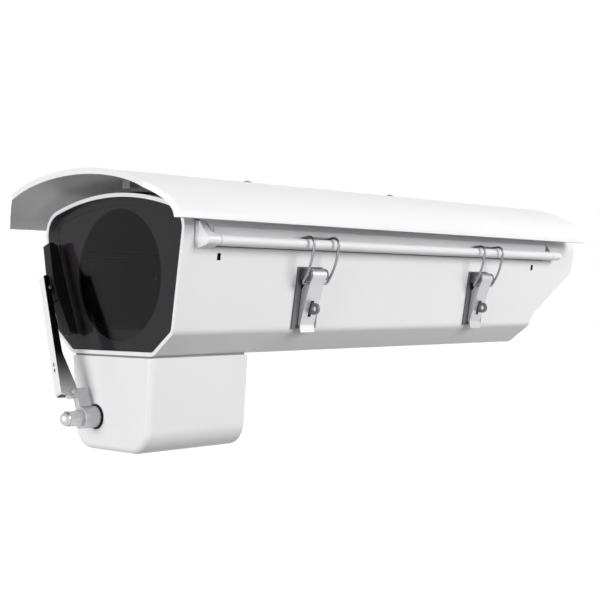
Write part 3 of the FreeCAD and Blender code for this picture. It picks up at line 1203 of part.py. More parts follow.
def blade_clip():
    """Saddle over the blade spine, with a lug up into the arm."""
    low, high = SPIN_Z + BLADE_REACH - CLIP_HALF_LEN, SPIN_Z + BLADE_REACH + CLIP_HALF_LEN
    y_top = CARRIER_Y[0] - CLIP_WALL
    body = block((SPIN_X - CLIP_HALF, SPIN_X + CLIP_HALF), (y_top, CARRIER_Y[0] + CLIP_SIDE), (low, high))
    body = body.cut(block((SPIN_X - CARRIER_HALF, SPIN_X + CARRIER_HALF), (CARRIER_Y[0], 0),
                          (low - OVERRUN, high + OVERRUN)))
    lug_half = ARM_HALF_TOP - ARM_T - EAR_GAP
    middle = SPIN_Z + BLADE_REACH
    lug = block((SPIN_X - lug_half, SPIN_X + lug_half), (BLADE_PIN_Y, y_top + CLIP_WALL / 2),
                (middle - CLIP_EYE_R, middle + CLIP_EYE_R))
    eye = rod(at(-lug_half, BLADE_PIN_Y, BLADE_REACH), X_AXIS, CLIP_EYE_R, 2 * lug_half)
    hole = rod(at(-FAR, BLADE_PIN_Y, BLADE_REACH), X_AXIS, BLADE_PIN_R + RUN_PLAY, 2 * FAR)
    return parked(fuse([body, lug, eye]).cut(hole))


def blade_carrier():
    """Spine that tapers to both ends, with a groove for the rubber."""
    low, high = BLADE_REACH - BLADE_HALF_LEN, BLADE_REACH + BLADE_HALF_LEN
    front, back = CARRIER_Y
    side = [at(0, back, low), at(0, front + CARRIER_TAPER, low), at(0, front, BLADE_REACH - CARRIER_FLAT),
            at(0, front, BLADE_REACH + CARRIER_FLAT), at(0, front + CARRIER_TAPER, high), at(0, back, high)]
    width = block((SPIN_X - CARRIER_HALF, SPIN_X + CARRIER_HALF), (-FAR, 0), (-FAR, FAR))
    groove = block((SPIN_X - GROOVE_HALF, SPIN_X + GROOVE_HALF), (back - GROOVE_DEEP, 0), (-FAR, FAR))
    return parked(upright(side, [0] * 6).common(width).cut(groove))


def wiper_rubber():
    """Root bead in the groove, shoulder and thin lip."""
    low = SPIN_Z + BLADE_REACH - BLADE_HALF_LEN
    high = SPIN_Z + BLADE_REACH + BLADE_HALF_LEN
    back = CARRIER_Y[1]
    root = block((SPIN_X - GROOVE_HALF, SPIN_X + GROOVE_HALF), (back - GROOVE_DEEP, back + LIP_HALF),
                 (low, high))
    shoulder = block((SPIN_X - RUBBER_HALF, SPIN_X + RUBBER_HALF), (back, back + SHOULDER_T), (low, high))
    lip = block((SPIN_X - LIP_HALF, SPIN_X + LIP_HALF), (back + SKIN, FACE_Y - RUBBER_EDGE_GAP), (low, high))
    return parked(fuse([root, shoulder, lip]))


# Inside fittings

def camera_sled():
    """Plate with two long slots for the camera's screws."""
    sled = block((-SLED_X, SLED_X), SLED_Y, (SLED_Z, SLED_Z + SLED_T))
    middle = (SLED_Y[0] + SLED_Y[1]) / 2
    half = SLED_SLOT_LEN / 2
    slots = []
    for x in (-SLED_SLOT_X, SLED_SLOT_X):
        slot = block((x - SLED_SLOT_W / 2, x + SLED_SLOT_W / 2), (middle - half, middle + half), (0, FAR))
        ends = [rod(V(x, y, 0), Z_AXIS, SLED_SLOT_W / 2, FAR) for y in (middle - half, middle + half)]
        slots.append(fuse([slot] + ends))
    holes = [rod(p - Z_AXIS, Z_AXIS, M3_R + M3_CLEAR, SLED_T + 2 * OVERRUN) for p in sled_points(SLED_Z)]
    return cut(sled, slots + holes)


def sled_points(z):
    return [V(s * x, y, z) for x, y in SLED_POSTS for s in (1, -1)]


def board_points(z):
    return [V(s * x, y, z) for x, y in BOARD_POSTS for s in (1, -1)]


def posts(points, height, across_flats):
    """Hexagonal posts with a threaded hole."""
    return [hexagon(p, Z_AXIS, across_flats, height).cut(rod(p, Z_AXIS, M3_R, height)) for p in points]


def top_screws(points, grip, length):
    """Pan-head screws down through a plate."""
    screws = []
    for p in points:
        screws.append(rod(p, Z_AXIS, M3_HEAD_R, M3_HEAD_H).fuse(rod(p, -Z_AXIS, M3_R, grip + length)))
    return screws


def heater_plate():
    base_top = WALL + HEATER_BASE_T
    base = block((-HEATER_X, HEATER_X), HEATER_Y, (WALL, base_top))
    pitch = (2 * HEATER_X - FIN_T) / (FIN_COUNT - 1)
    starts = [-HEATER_X + i * pitch for i in range(FIN_COUNT)]
    fins = [block((x, x + FIN_T), HEATER_Y, (base_top - HEATER_BASE_T / 2, base_top + FIN_H)) for x in starts]
    return fuse([base] + fins)


FAN_Z = WALL + FAN_SIZE / 2
ROTOR_Y = FAN_Y + ROTOR_GAP
ROTOR_LEN = FAN_T - STRUT_T - 2 * ROTOR_GAP


def fan_frame():
    """Square frame with a round throat, a cross of struts and the shaft."""
    half = FAN_SIZE / 2
    reach = half - STRUT_IN
    frame = block((-half, half), (FAN_Y, FAN_Y + FAN_T), (WALL, WALL + FAN_SIZE))
    throat = rod(V(0, FAN_Y - OVERRUN, FAN_Z), Y_AXIS, ROTOR_R + FAN_GAP, FAN_T + 2 * OVERRUN)
    strut_y = (FAN_Y + FAN_T - STRUT_T, FAN_Y + FAN_T)
    struts = [block((-STRUT_HALF, STRUT_HALF), strut_y, (FAN_Z - reach, FAN_Z + reach)),
              block((-reach, reach), strut_y, (FAN_Z - STRUT_HALF, FAN_Z + STRUT_HALF))]
    hub = rod(V(0, strut_y[0], FAN_Z), Y_AXIS, HUB_R, STRUT_T)
    shaft = rod(V(0, FAN_Y + FAN_SHAFT_IN, FAN_Z), Y_AXIS, FAN_SHAFT_R, FAN_T - FAN_SHAFT_IN)
    return fuse([frame.cut(throat)] + struts + [hub, shaft])


def fan_rotor():
    """Hub with pitched blades, on the shaft."""
    hub = rod(V(0, ROTOR_Y, FAN_Z), Y_AXIS, HUB_R, ROTOR_LEN)
    blade_y = (ROTOR_Y + STRUT_IN, ROTOR_Y + ROTOR_LEN - STRUT_IN)
    blades = []
    for i in range(BLADES):
        blade = block((-STRUT_IN, STRUT_IN), blade_y, (FAN_Z + HUB_R - STRUT_IN, FAN_Z + ROTOR_R))
        blade.rotate(V(0, ROTOR_Y + ROTOR_LEN / 2, FAN_Z), Z_AXIS, BLADE_TURN)
        blade.rotate(V(0, 0, FAN_Z), Y_AXIS, 360 * i / BLADES)
        blades.append(blade)
    rotor = fuse([hub] + blades).common(rod(V(0, ROTOR_Y, FAN_Z), Y_AXIS, ROTOR_R, ROTOR_LEN))
    shaft_y = FAN_Y + FAN_SHAFT_IN - FAN_SHAFT_PLAY
    return rotor.cut(rod(V(0, shaft_y, FAN_Z), Y_AXIS, FAN_SHAFT_R + RUN_PLAY, FAN_T))


def terminal_board():
    z = WALL + BOARD_POST_H
    board = block((-BOARD_X, BOARD_X), BOARD_Y, (z, z + BOARD_T))
    clear = M3_R + M3_CLEAR
    return cut(board, [rod(p - Z_AXIS, Z_AXIS, clear, BOARD_T + 2 * OVERRUN) for p in board_points(z)])


def terminal_blocks():
    """Screw terminals, each with a row of wire mouths."""
    z = WALL + BOARD_POST_H + BOARD_T
    width, length, height = BLOCK_SIZE
    middle = (BOARD_Y[0] + BOARD_Y[1]) / 2
    ways = [middle + (i - (WAYS - 1) / 2) * WAY_PITCH for i in range(WAYS)]
    blocks = []
    for x in BLOCK_X:
        side = x - width / 2
        body = block((side, x + width / 2), (middle - length / 2, middle + length / 2), (z, z + height))
        mouths = [block((side - OVERRUN, side + MOUTH_DEEP), (y - MOUTH_HALF, y + MOUTH_HALF),
                        (z + MOUTH_Z[0], z + MOUTH_Z[1])) for y in ways]
        clamps = [rod(V(x + CLAMP_X, y, z + height - CLAMP_DEEP), Z_AXIS, CLAMP_R, CLAMP_DEEP) for y in ways]
        blocks.append(cut(body, mouths + clamps))
    return blocks


def mount_plate():
    """Thick plate on the floor, tapped for the fixings."""
    top = WALL + MOUNT_PLATE_T
    solid = block((-MOUNT_PLATE_X, MOUNT_PLATE_X), (-MOUNT_PLATE_Y, MOUNT_PLATE_Y), (WALL, top))
    holes = [rod(V(x, y, 0), Z_AXIS, MOUNT_THREAD_R, FAR)
             for x in (-MOUNT_X, MOUNT_X) for y in (-MOUNT_Y, MOUNT_Y)]
    holes += [rod(V(x, y, 0), Z_AXIS, M3_R, FAR) for x, y in MOUNT_PLATE_SCREWS]
    return cut(solid, holes)


def mount_plate_screws():
    screws = []
    for x, y in MOUNT_PLATE_SCREWS:
        head = rod(V(x, y, 0), -Z_AXIS, M3_HEAD_R, M3_HEAD_H)
        screws.append(head.fuse(rod(V(x, y, 0), Z_AXIS, M3_R, WALL + MOUNT_PLATE_T)))
    return screws


# Cable glands

def gland_bodies():
    """Threaded necks with a hexagon against the cap."""
    bodies = []
    for x in GLAND_X:
        inside = V(x, BACK_Y - GLAND_INSIDE_LEN, GLAND_Z)
        neck = rod(inside, Y_AXIS, GLAND_THREAD_R, GLAND_INSIDE_LEN + GLAND_OUTSIDE_LEN)
        flats = hexagon(V(x, BACK_Y, GLAND_Z), Y_AXIS, GLAND_AF, GLAND_HEX_LEN)
        bore = rod(V(x, 0, GLAND_Z), Y_AXIS, GLAND_BORE_R, FAR)
        bodies.append(neck.fuse(flats).cut(bore).removeSplitter())
    return bodies


def gland_nuts():
    """Domed nuts over the outer thread."""
    nuts = []
    y0 = BACK_Y + GLAND_HEX_LEN + GLAND_NUT_GAP
    thread_len = GLAND_OUTSIDE_LEN - GLAND_HEX_LEN + 2 * OVERRUN
    for x in GLAND_X:
        nut = hexagon(V(x, y0, GLAND_Z), Y_AXIS, GLAND_AF, GLAND_NUT_LEN)
        mouth_r = GLAND_CABLE_R + GLAND_MOUTH_EXTRA
        crown = Part.makeCone(GLAND_AF, mouth_r, GLAND_NUT_LEN, V(x, y0, GLAND_Z), Y_AXIS)
        thread = rod(V(x, y0 - OVERRUN, GLAND_Z), Y_AXIS, GLAND_THREAD_R, thread_len)
        mouth = rod(V(x, 0, GLAND_Z), Y_AXIS, GLAND_BORE_R, FAR)
        nuts.append(nut.common(crown).cut(thread).cut(mouth))
    return nuts


def gland_locknuts():
    y0 = BACK_Y - WALL - LOCKNUT_LEN
    return [hexagon(V(x, y0, GLAND_Z), Y_AXIS, LOCKNUT_AF, LOCKNUT_LEN).cut(
        rod(V(x, 0, GLAND_Z), Y_AXIS, GLAND_THREAD_R, FAR)) for x in GLAND_X]


def gland_seals():
    """Rubber inserts with the cable hole."""
    return [tube(V(x, BACK_Y + GLAND_SEAL_SET, GLAND_Z), Y_AXIS, GLAND_BORE_R, GLAND_CABLE_R, GLAND_SEAL_LEN)
            for x in GLAND_X]


def save(name, shape):
    solids = shape if isinstance(shape, list) else [shape]
    shape = solids[0] if len(solids) == 1 else Part.makeCompound(solids)
    shape.exportStep("parts/" + name + ".step")


def main():
    os.makedirs("parts", exist_ok=True)
    makers = (
        front_bezel, front_glass, window_gasket, window_mask, body_shell, rear_cap, frame_screws,
        top_cover, side_gaskets, end_gaskets, sunshield, shield_spacers, shield_rest, shield_screws,
        shield_nuts, hinge_body_leaves, hinge_cover_leaves, hinge_pins, latch_screws, wiper_box,
        wiper_box_gasket, wiper_box_screws, wiper_gearbox, gearbox_screws, wiper_motor, spindle_bush,
        wiper_spindle, spindle_nut, wiper_head, arm_pin, wiper_arm, arm_spring, blade_pin, blade_clip,
        blade_carrier, wiper_rubber, camera_sled, heater_plate, fan_frame, fan_rotor, terminal_board,
        terminal_blocks, mount_plate, mount_plate_screws, gland_bodies, gland_nuts, gland_locknuts,
        gland_seals,
    )
    for maker in makers:
        save(maker.__name__, maker())
    save("hinge_body_screws", hinge_screws(HINGE_SCREW_LOW_Z, HINGE_SCREW_LOW_STEP))
    save("hinge_cover_screws", hinge_screws(HINGE_SCREW_TOP_Z, HINGE_SCREW_TOP_STEP))
    for place, y in zip(("front", "rear"), LATCH_Y):
        save("latch_" + place + "_base", latch_base(y))
        save("latch_" + place + "_lever", latch_lever(y))
        save("latch_" + place + "_bail", latch_bail(y))
    save("sled_posts", posts(sled_points(WALL), SLED_Z - WALL, SLED_POST_AF))
    save("board_posts", posts(board_points(WALL), BOARD_POST_H, BOARD_POST_AF))
    seats = sled_points(SLED_Z + SLED_T) + board_points(WALL + BOARD_POST_H + BOARD_T)
    save("plate_screws", top_screws(seats, SLED_T, POST_GRIP))
    save("latch_pins", [latch_pin(y) for y in LATCH_Y])


main()
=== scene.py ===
import json
import math
import bmesh
import bpy
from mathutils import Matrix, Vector


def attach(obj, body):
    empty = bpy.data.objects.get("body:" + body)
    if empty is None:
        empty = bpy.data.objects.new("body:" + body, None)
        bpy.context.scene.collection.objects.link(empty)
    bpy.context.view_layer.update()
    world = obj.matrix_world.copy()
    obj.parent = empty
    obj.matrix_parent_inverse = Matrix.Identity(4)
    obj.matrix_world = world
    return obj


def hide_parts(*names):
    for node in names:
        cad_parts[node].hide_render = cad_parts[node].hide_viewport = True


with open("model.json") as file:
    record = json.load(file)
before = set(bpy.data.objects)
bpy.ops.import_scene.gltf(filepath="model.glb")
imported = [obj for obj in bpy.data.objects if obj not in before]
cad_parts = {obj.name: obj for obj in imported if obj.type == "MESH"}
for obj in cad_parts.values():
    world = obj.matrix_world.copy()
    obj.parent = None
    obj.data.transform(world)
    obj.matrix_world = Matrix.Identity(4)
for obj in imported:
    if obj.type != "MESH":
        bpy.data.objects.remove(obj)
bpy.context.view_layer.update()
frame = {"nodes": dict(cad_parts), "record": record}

# Camera of the photograph, in metres and millimetres
CAMERA_AT = (0.6461, -0.7140, 0.0363)
CAMERA_BACK = (0.6914, -0.7225, 0.0)
LENS_MM = 72.78
SENSOR_MM = 36.0

# Studio: floor, ambient light, and lamps with place, size and watts
FLOOR_Z = -0.36
FLOOR_HALF = 12.0
FLOOR_SHADE = 0.14
FLOOR_SEEN = 0.45
FLOOR_GLOW = 0.88
AMBIENT = 0.40
AIM = (0.0, 0.0, 0.05)
LAMPS = {
    "key": ((0.1, -2.0, 0.3), (1.2, 1.0), 27.0),
    "side": ((1.6, 0.5, 0.68), (0.9, 0.9), 26.3),
    "fill": ((-1.8, 0.5, 0.1), (1.2, 1.0), 10.0),
}

# Coats and metals: scales per metre, depths in metres
CLOUD_SCALE, CLOUD_DETAIL = 14.0, 2.0
CLOUD_SPAN = (0.3, 0.7)
PEEL_DETAIL, PEEL_DEPTH = 3.0, 0.0002
COAT_SPREAD = (-0.05, 0.05)
STREAK_DETAIL, STREAK_DEPTH = 5.0, 0.0001
STREAK_SHADE = 0.86
METAL_SPREAD = (-0.08, 0.10)

# Window pane
PANE_TINT = (0.60, 0.59, 0.60, 1)
PANE_SHEEN = (0.55, 0.545, 0.55, 1)
PANE_ROUGHNESS = 0.12
PANE_IOR = 1.38
PANE_GAP = 0.0002

# Parked wiper: its turn, the way across its arm, and the painted dark reflection on the arm's sides,
# darker towards the top
PARK_TURN = math.radians(21.5)
ARM_ACROSS = Vector((math.cos(PARK_TURN), 0, math.sin(PARK_TURN)))
ARM_REFLECTION_Z = (-0.028, 0.002)
ARM_REFLECTION_GREY = (0.42, 0.012)
ALL_WAYS = (1, 1, 1)


def new_material(name):
    material = bpy.data.materials.new(name)
    material.use_nodes = True
    return material, material.node_tree, material.node_tree.nodes["Principled BSDF"]


def add_node(tree, kind, **values):
    node = tree.nodes.new(kind)
    for key, value in values.items():
        if key in node.inputs:
            node.inputs[key].default_value = value
        else:
            setattr(node, key, value)
    return node


def noise(tree, place, scale, detail):
    node = add_node(tree, "ShaderNodeTexNoise", Scale=scale, Detail=detail)
    tree.links.new(place, node.inputs["Vector"])
    return node.outputs["Fac"]


def object_place(tree):
    return add_node(tree, "ShaderNodeTexCoord").outputs["Object"]


def tint(tree, shader, share, shade, colour):
    """Base colour between a shaded and the full colour."""
    ramp = add_node(tree, "ShaderNodeValToRGB")
    ramp.color_ramp.elements[0].color = [c * shade for c in colour] + [1]
    ramp.color_ramp.elements[1].color = list(colour) + [1]
    tree.links.new(share, ramp.inputs["Fac"])
    tree.links.new(ramp.outputs["Color"], shader.inputs["Base Color"])
    return ramp.color_ramp.elements


def vary_roughness(tree, shader, share, roughness, spread):
    rough = add_node(tree, "ShaderNodeMapRange")
    rough.inputs["To Min"].default_value = roughness + spread[0]
    rough.inputs["To Max"].default_value = roughness + spread[1]
    tree.links.new(share, rough.inputs["Value"])
    tree.links.new(rough.outputs["Result"], shader.inputs["Roughness"])


def emboss(tree, shader, height, strength, depth):
    relief = add_node(tree, "ShaderNodeBump", Strength=strength, Distance=depth)
    tree.links.new(height, relief.inputs["Height"])
    tree.links.new(relief.outputs["Normal"], shader.inputs["Normal"])


def paint(name, colour, roughness, grain=900.0, bump=0.02, tone=0.03, shine=0.5):
    """Powder coat: fine orange peel, slight tone and gloss variation."""
    material, tree, shader = new_material(name)
    shader.inputs["Specular IOR Level"].default_value = shine
    place = object_place(tree)
    cloud = noise(tree, place, CLOUD_SCALE, CLOUD_DETAIL)
    ends = tint(tree, shader, cloud, 1 - tone, colour)
    for end, position in zip(ends, CLOUD_SPAN):
        end.position = position
    vary_roughness(tree, shader, cloud, roughness, COAT_SPREAD)
    emboss(tree, shader, noise(tree, place, grain, PEEL_DETAIL), bump, PEEL_DEPTH)
    return material


def metal(name, colour, roughness, stretch=(1.0, 1.0, 40.0), streaks=60.0, bump=0.05):
    """Brushed or turned metal: streaks in roughness and relief."""
    material, tree, shader = new_material(name)
    shader.inputs["Metallic"].default_value = 1.0
    scale = add_node(tree, "ShaderNodeMapping", Scale=stretch)
    tree.links.new(object_place(tree), scale.inputs["Vector"])
    streak = noise(tree, scale.outputs["Vector"], streaks, STREAK_DETAIL)
    tint(tree, shader, streak, STREAK_SHADE, colour)
    vary_roughness(tree, shader, streak, roughness, METAL_SPREAD)
    emboss(tree, shader, streak, bump, STREAK_DEPTH)
    return material


def mix_shaders(tree, share, first, second):
    mix = add_node(tree, "ShaderNodeMixShader")
    for socket, source in zip(mix.inputs, (share, first, second)):
        tree.links.new(source, socket)
    return mix.outputs[0]


def front_share(tree):
    """Fresnel share of the outer face; 0 where a ray leaves the pane."""
    edge = add_node(tree, "ShaderNodeFresnel", IOR=PANE_IOR)
    side = add_node(tree, "ShaderNodeNewGeometry")
    outside = add_node(tree, "ShaderNodeMath", operation="SUBTRACT")
    outside.inputs[0].default_value = 1.0
    tree.links.new(side.outputs["Backfacing"], outside.inputs[1])
    share = add_node(tree, "ShaderNodeMath", operation="MULTIPLY")
    tree.links.new(edge.outputs["Fac"], share.inputs[0])
    tree.links.new(outside.outputs[0], share.inputs[1])
    return share.outputs[0]


def pane(name):
    """Clear pane with a slight grey tint and a plain surface reflection."""
    material, tree, shader = new_material(name)
    tree.nodes.remove(shader)
    through = add_node(tree, "ShaderNodeBsdfTransparent", Color=PANE_TINT)
    sheen = add_node(tree, "ShaderNodeBsdfGlossy", Roughness=PANE_ROUGHNESS, Color=PANE_SHEEN)
    mixed = mix_shaders(tree, front_share(tree), through.outputs["BSDF"], sheen.outputs["BSDF"])
    tree.links.new(mixed, tree.nodes["Material Output"].inputs["Surface"])
    return material


def painted_reflection_by_height(material, heights, greys):
    """Base colour that changes with height along the object: a painted dark reflection, darker towards
    the top.
    """
    tree = material.node_tree
    parts = add_node(tree, "ShaderNodeSeparateXYZ")
    tree.links.new(object_place(tree), parts.inputs["Vector"])
    share = add_node(tree, "ShaderNodeMapRange")
    share.inputs["From Min"].default_value = heights[0]
    share.inputs["From Max"].default_value = heights[1]
    tree.links.new(parts.outputs["Z"], share.inputs["Value"])
    ramp = add_node(tree, "ShaderNodeValToRGB")
    for end, grey in zip(ramp.color_ramp.elements, greys):
        end.color = [grey] * 3 + [1]
    tree.links.new(share.outputs["Result"], ramp.inputs["Fac"])
    tree.links.new(ramp.outputs["Color"], tree.nodes["Principled BSDF"].inputs["Base Color"])
    return material


WHITE = paint("white_coat", (0.82, 0.82, 0.83), 0.34)
STEEL = metal("satin_steel", (0.52, 0.52, 0.53), 0.30)
WIRE = metal("grey_wire", (0.24, 0.24, 0.25), 0.34, ALL_WAYS, 300.0)
DARK_STEEL = metal("shaded_steel", (0.26, 0.26, 0.27), 0.34)
LEVER = metal("lever_steel", (0.50, 0.50, 0.51), 0.46)
# Latch base plates: steel painted darker as the shade of the lever cheeks
CATCH_PAINTED_SHADE = metal("catch_steel_painted_shade", (0.17, 0.17, 0.175), 0.4)
CASTING = metal("cast_silver", (0.50, 0.50, 0.51), 0.42, ALL_WAYS, 500.0, 0.15)
# Arm sides: painted dark reflection, grey low down and near black at the top
ARM_SIDE_PAINTED_REFLECTION = painted_reflection_by_height(metal("arm_side", (0.3, 0.3, 0.3), 0.45, ALL_WAYS, 300.0), ARM_REFLECTION_Z, ARM_REFLECTION_GREY)
ALLOY = metal("plain_alloy", (0.66, 0.67, 0.69), 0.35, (1, 60, 1), 40.0)
BRASS = metal("nickel_brass", (0.60, 0.57, 0.50), 0.3, (1, 40, 1), 60.0)
BLACK = paint("black_moulding", (0.005, 0.005, 0.005), 0.5, 1400.0, 0.05, 0.2, 0.2)
MASK = paint("mask_black", (0.18, 0.175, 0.18), 0.8, 1400.0, 0.0, 0.02, 0.1)
RUBBER = paint("black_rubber", (0.006, 0.006, 0.006), 0.7, 1800.0, 0.08, 0.2, 0.2)
GREY_SEAL = paint("grey_seal", (0.35, 0.35, 0.35), 0.7, 1800.0, 0.08, 0.2, 0.2)
# Inside of the housing behind the window: painted dark grey as shade
INNER_PAINTED_SHADE = paint("inner_painted_shade", (0.09, 0.09, 0.09), 0.6)
GREEN = paint("board_green", (0.01, 0.10, 0.035), 0.3, 600.0, 0.02, 0.1)
BLOCK_GREEN = paint("terminal_green", (0.02, 0.22, 0.07), 0.4, 800.0, 0.02, 0.1)
PANE = pane("window_pane")

SLOT_LOOK = {
    "white_paint": WHITE,
    "steel": STEEL,
    "glass": PANE,
    "rubber": RUBBER,
    "black_plastic": BLACK,
    "motor_steel": STEEL,
    "aluminium": ALLOY,
    "board": GREEN,
    "terminal_plastic": BLOCK_GREEN,
    "nickel_brass": BRASS,
}
NODE_LOOK = {
    "window_mask": MASK,
    "window_gasket": MASK,
    "wiper_head": CASTING,
    "latch_front_bail": WIRE,
    "latch_rear_bail": WIRE,
    "latch_front_base": CATCH_PAINTED_SHADE,
    "latch_rear_base": CATCH_PAINTED_SHADE,
    "latch_front_lever": LEVER,
    "latch_rear_lever": LEVER,
    "spindle_bush": RUBBER,
    "spindle_nut": CASTING,
    "shield_screws": DARK_STEEL,
    "wiper_box_gasket": GREY_SEAL,
    "heater_plate": BLACK,
    "shield_rest": GREY_SEAL,
}

# Edge rounding of each visible node, in metres
EDGES = {
    "front_bezel": 0.0008, "body_shell": 0.0006, "rear_cap": 0.0010, "top_cover": 0.0005,
    "sunshield": 0.0016, "shield_spacers": 0.0003, "shield_rest": 0.0004, "shield_screws": 0.0002,
    "wiper_box": 0.0008, "wiper_box_gasket": 0.0002, "spindle_bush": 0.0003, "spindle_nut": 0.0004,
    "wiper_head": 0.0007, "arm_pin": 0.0003, "wiper_arm": 0.0003, "blade_pin": 0.0002,
    "blade_clip": 0.0003, "blade_carrier": 0.0004, "wiper_rubber": 0.0001,
    "latch_front_base": 0.0003, "latch_rear_base": 0.0003, "latch_front_lever": 0.0003,
    "latch_rear_lever": 0.0003, "latch_pins": 0.0002, "latch_front_bail": 0.0002,
    "latch_rear_bail": 0.0002, "latch_screws": 0.0002, "hinge_body_leaves": 0.0003,
    "hinge_cover_leaves": 0.0003, "hinge_pins": 0.0002, "hinge_body_screws": 0.0002,
    "hinge_cover_screws": 0.0002, "frame_screws": 0.0002, "gland_bodies": 0.0004, "gland_nuts": 0.0005,
    "gland_seals": 0.0002, "side_gaskets": 0.0002, "end_gaskets": 0.0002, "front_glass": 0.0002,
    "window_mask": 0.0001,
}
BEVEL_STEPS = 3
SHARP = math.radians(28)
FLAT = math.radians(0.4)
WELD = 0.000002


def node_look(name, slot):
    return NODE_LOOK.get(name, SLOT_LOOK[slot])


def welded_copy(name):
    """The node's mesh with its flat faces merged, smooth but for the sharp edges."""
    shape = bmesh.new()
    shape.from_mesh(frame["nodes"][name].data)
    bmesh.ops.remove_doubles(shape, verts=shape.verts, dist=WELD)
    bmesh.ops.dissolve_limit(shape, angle_limit=FLAT, verts=shape.verts, edges=shape.edges)
    for face in shape.faces:
        face.smooth = True
    for edge in shape.edges:
        edge.smooth = edge.calc_face_angle(0) < SHARP
    mesh = bpy.data.meshes.new(name + "_fine")
    shape.to_mesh(mesh)
    shape.free()
    return mesh


# Drain pockets in the sides of the shell: y and z of each, and their half sizes
POCKETS = ((-0.1888, 0.064), (0.173, 0.064))
POCKET_HALF = (0.0016, 0.0024)

# Inner space of shell and cover, whose faces are painted dark grey as shade
INNER_X, INNER_Z = 0.0735, 0.05
PANE_BACK_Y = -0.212
LEDGE_RISE = 0.025
FACING = 0.7


def lift_pane(mesh):
    """Keeps the back of the pane just clear of the mask."""
    middle = sum(v.co.y for v in mesh.vertices) / len(mesh.vertices)
    for vertex in mesh.vertices:
        if vertex.co.y > middle:
            vertex.co.y -= PANE_GAP


def in_pocket_painted_shade(face):
    """True for the walls and the bottom of the two drain pockets in the side, which get painted black
    shade.
    """
    return any(abs(face.center.y - y) < POCKET_HALF[0] and abs(face.center.z - z) < POCKET_HALF[1]
               for y, z in POCKETS)


def inside_painted_shade(face):
    """True for faces behind the window that look inwards, and for ledges and walls seen through it:
    these get painted shade.
    """
    across, up = face.center.x, face.center.z - INNER_Z
    if face.center.y < PANE_BACK_Y or abs(across) > INNER_X:
        return False
    inwards = across * face.normal.x + up * face.normal.z < 0
    ledge = face.normal.z > FACING and 0 < up < LEDGE_RISE
    forwards = face.normal.y < -FACING and up < 0
    return inwards or ledge or forwards


# Side faces of the arm, which get the painted dark reflection
def on_arm_side_painted_reflection(face):
    return abs(face.normal.dot(ARM_ACROSS)) > FACING


# Further materials of a node and the faces that have them: painted dark reflection on the arm's sides,
# painted shade inside the housing and in the drain pockets
FACE_LOOKS = {
    "wiper_arm": [(ARM_SIDE_PAINTED_REFLECTION, on_arm_side_painted_reflection)],
    "body_shell": [(INNER_PAINTED_SHADE, inside_painted_shade), (BLACK, in_pocket_painted_shade)],
    "top_cover": [(INNER_PAINTED_SHADE, inside_painted_shade)],
    "front_bezel": [(INNER_PAINTED_SHADE, inside_painted_shade)],
}


def new_object(name, data):
    thing = bpy.data.objects.new(name, data)
    bpy.context.scene.collection.objects.link(thing)
    return thing


def finish_faces(name, mesh):
    for number, (look, chosen) in enumerate(FACE_LOOKS.get(name, []), start=1):
        mesh.materials.append(look)
        for face in filter(chosen, mesh.polygons):
            face.material_index = number


def round_edges(piece, width):
    rounding = piece.modifiers.new("edges", "BEVEL")
    rounding.width = width
    rounding.segments = BEVEL_STEPS
    rounding.limit_method = "ANGLE"
    rounding.angle_limit = SHARP
    rounding.harden_normals = True


def refine(name, body, slot):
    """Stands in for a node with the same form and rounded edges."""
    mesh = welded_copy(name)
    mesh.materials.append(node_look(name, slot))
    if name == "front_glass":
        lift_pane(mesh)
    finish_faces(name, mesh)
    piece = new_object(name + "_fine", mesh)
    round_edges(piece, EDGES[name])
    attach(piece, body)
    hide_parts(name)


# Coil of the arm spring, about a line that leans with the parked wiper
SPIN = (-0.0145, -0.0417)
COIL_Y = -0.24123
COIL_REACH = (0.0242, 0.0535)
COIL_R, COIL_WIRE_R = 0.00115, 0.0003
COIL_TURNS, COIL_STEPS = 30, 16
WIRE_ROUNDING = 3


def coil_point(turn):
    """Point of the coil after so many turns."""
    share = turn / COIL_TURNS
    reach = COIL_REACH[0] + share * (COIL_REACH[1] - COIL_REACH[0])
    side = COIL_R * math.cos(2 * math.pi * turn)
    x = SPIN[0] + side * math.cos(PARK_TURN) - reach * math.sin(PARK_TURN)
    z = SPIN[1] + side * math.sin(PARK_TURN) + reach * math.cos(PARK_TURN)
    return x, COIL_Y + COIL_R * math.sin(2 * math.pi * turn), z


def make_coil():
    """Wound wire in place of the plain tube of the arm spring."""
    curve = bpy.data.curves.new("arm_spring_coil", "CURVE")
    curve.dimensions = "3D"
    curve.bevel_depth = COIL_WIRE_R
    curve.bevel_resolution = WIRE_ROUNDING
    line = curve.splines.new("POLY")
    line.points.add(COIL_TURNS * COIL_STEPS)
    for index, point in enumerate(line.points):
        point.co = (*coil_point(index / COIL_STEPS), 1)
    curve.materials.append(STEEL)
    coil = new_object("arm_spring_coil", curve)
    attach(coil, "arm")
    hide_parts("arm_spring")


def dress_nodes():
    slots = {row["node"]: row["material_slot"] for row in frame["record"]["subparts"]}
    for body, names in frame["record"]["behaviour"]["bodies"].items():
        for name in names:
            if name in EDGES:
                refine(name, body, slots[name])
            elif name != "arm_spring":
                mesh = frame["nodes"][name].data
                mesh.materials.clear()
                mesh.materials.append(node_look(name, slots[name]))


def make_camera():
    data = bpy.data.cameras.new("camera")
    data.lens = LENS_MM
    data.sensor_width = SENSOR_MM
    camera = new_object("camera", data)
    camera.location = CAMERA_AT
    camera.rotation_euler = Vector(CAMERA_BACK).to_track_quat("Z", "Y").to_euler()
    bpy.context.scene.camera = camera


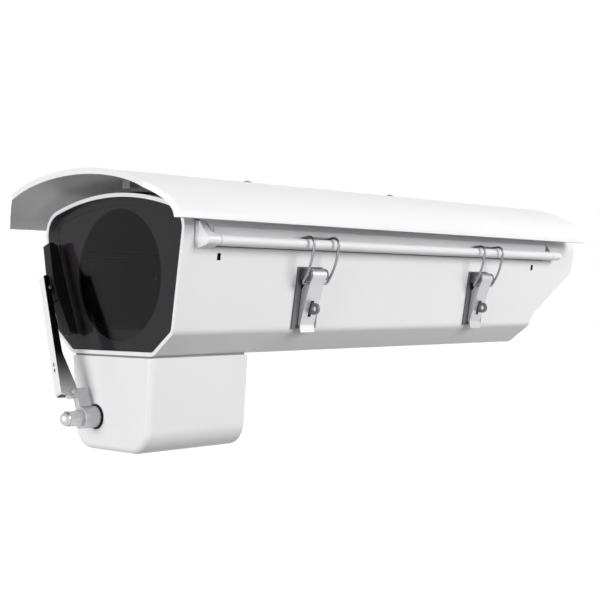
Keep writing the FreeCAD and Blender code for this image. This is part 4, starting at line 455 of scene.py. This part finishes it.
def seen_ray(tree):
    """1 for camera, glossy and transmission rays."""
    path = add_node(tree, "ShaderNodeLightPath")
    first = add_node(tree, "ShaderNodeMath", operation="MAXIMUM")
    second = add_node(tree, "ShaderNodeMath", operation="MAXIMUM")
    tree.links.new(path.outputs["Is Camera Ray"], first.inputs[0])
    tree.links.new(path.outputs["Is Glossy Ray"], first.inputs[1])
    tree.links.new(first.outputs[0], second.inputs[0])
    tree.links.new(path.outputs["Is Transmission Ray"], second.inputs[1])
    return second.outputs[0]


def make_world():
    world = bpy.data.worlds.new("studio")
    bpy.context.scene.world = world
    world.use_nodes = True
    tree = world.node_tree
    back = tree.nodes["Background"]
    back.inputs["Color"].default_value = (1, 1, 1, 1)
    level = add_node(tree, "ShaderNodeMapRange")
    level.inputs["To Min"].default_value = AMBIENT
    level.inputs["To Max"].default_value = 1.0
    tree.links.new(seen_ray(tree), level.inputs["Value"])
    tree.links.new(level.outputs["Result"], back.inputs["Strength"])


def seen_floor(tree):
    """Bright floor that still takes the object's shadow."""
    glow = add_node(tree, "ShaderNodeEmission", Strength=FLOOR_GLOW)
    pale = add_node(tree, "ShaderNodeBsdfDiffuse", Color=(FLOOR_SEEN, FLOOR_SEEN, FLOOR_SEEN, 1))
    both = add_node(tree, "ShaderNodeAddShader")
    tree.links.new(glow.outputs[0], both.inputs[0])
    tree.links.new(pale.outputs[0], both.inputs[1])
    return both.outputs[0]


def floor_material():
    """Pale from above, clear from below."""
    material, tree, shader = new_material("floor_white")
    shader.inputs["Base Color"].default_value = (FLOOR_SHADE, FLOOR_SHADE, FLOOR_SHADE, 1)
    shader.inputs["Roughness"].default_value = 1.0
    shader.inputs["Specular IOR Level"].default_value = 0.0
    upper = mix_shaders(tree, seen_ray(tree), shader.outputs[0], seen_floor(tree))
    clear = add_node(tree, "ShaderNodeBsdfTransparent")
    below = add_node(tree, "ShaderNodeNewGeometry")
    sided = mix_shaders(tree, below.outputs["Backfacing"], upper, clear.outputs[0])
    tree.links.new(sided, tree.nodes["Material Output"].inputs["Surface"])
    return material


def make_floor():
    corners = ((-1, -1), (1, -1), (1, 1), (-1, 1))
    mesh = bpy.data.meshes.new("floor")
    mesh.from_pydata([(x * FLOOR_HALF, y * FLOOR_HALF, FLOOR_Z) for x, y in corners], [], [(0, 1, 2, 3)])
    mesh.materials.append(floor_material())
    new_object("floor", mesh)


def make_lights():
    for name, (at, size, watts) in LAMPS.items():
        data = bpy.data.lights.new(name, "AREA")
        data.shape = "RECTANGLE"
        data.size, data.size_y = size
        data.energy = watts
        light = new_object(name, data)
        light.location = at
        light.rotation_euler = (Vector(at) - Vector(AIM)).to_track_quat("Z", "Y").to_euler()


dress_nodes()
make_coil()
make_camera()
make_world()
make_floor()
make_lights()
view = bpy.context.scene.view_settings
view.view_transform = "Standard"
bpy.context.view_layer.update()
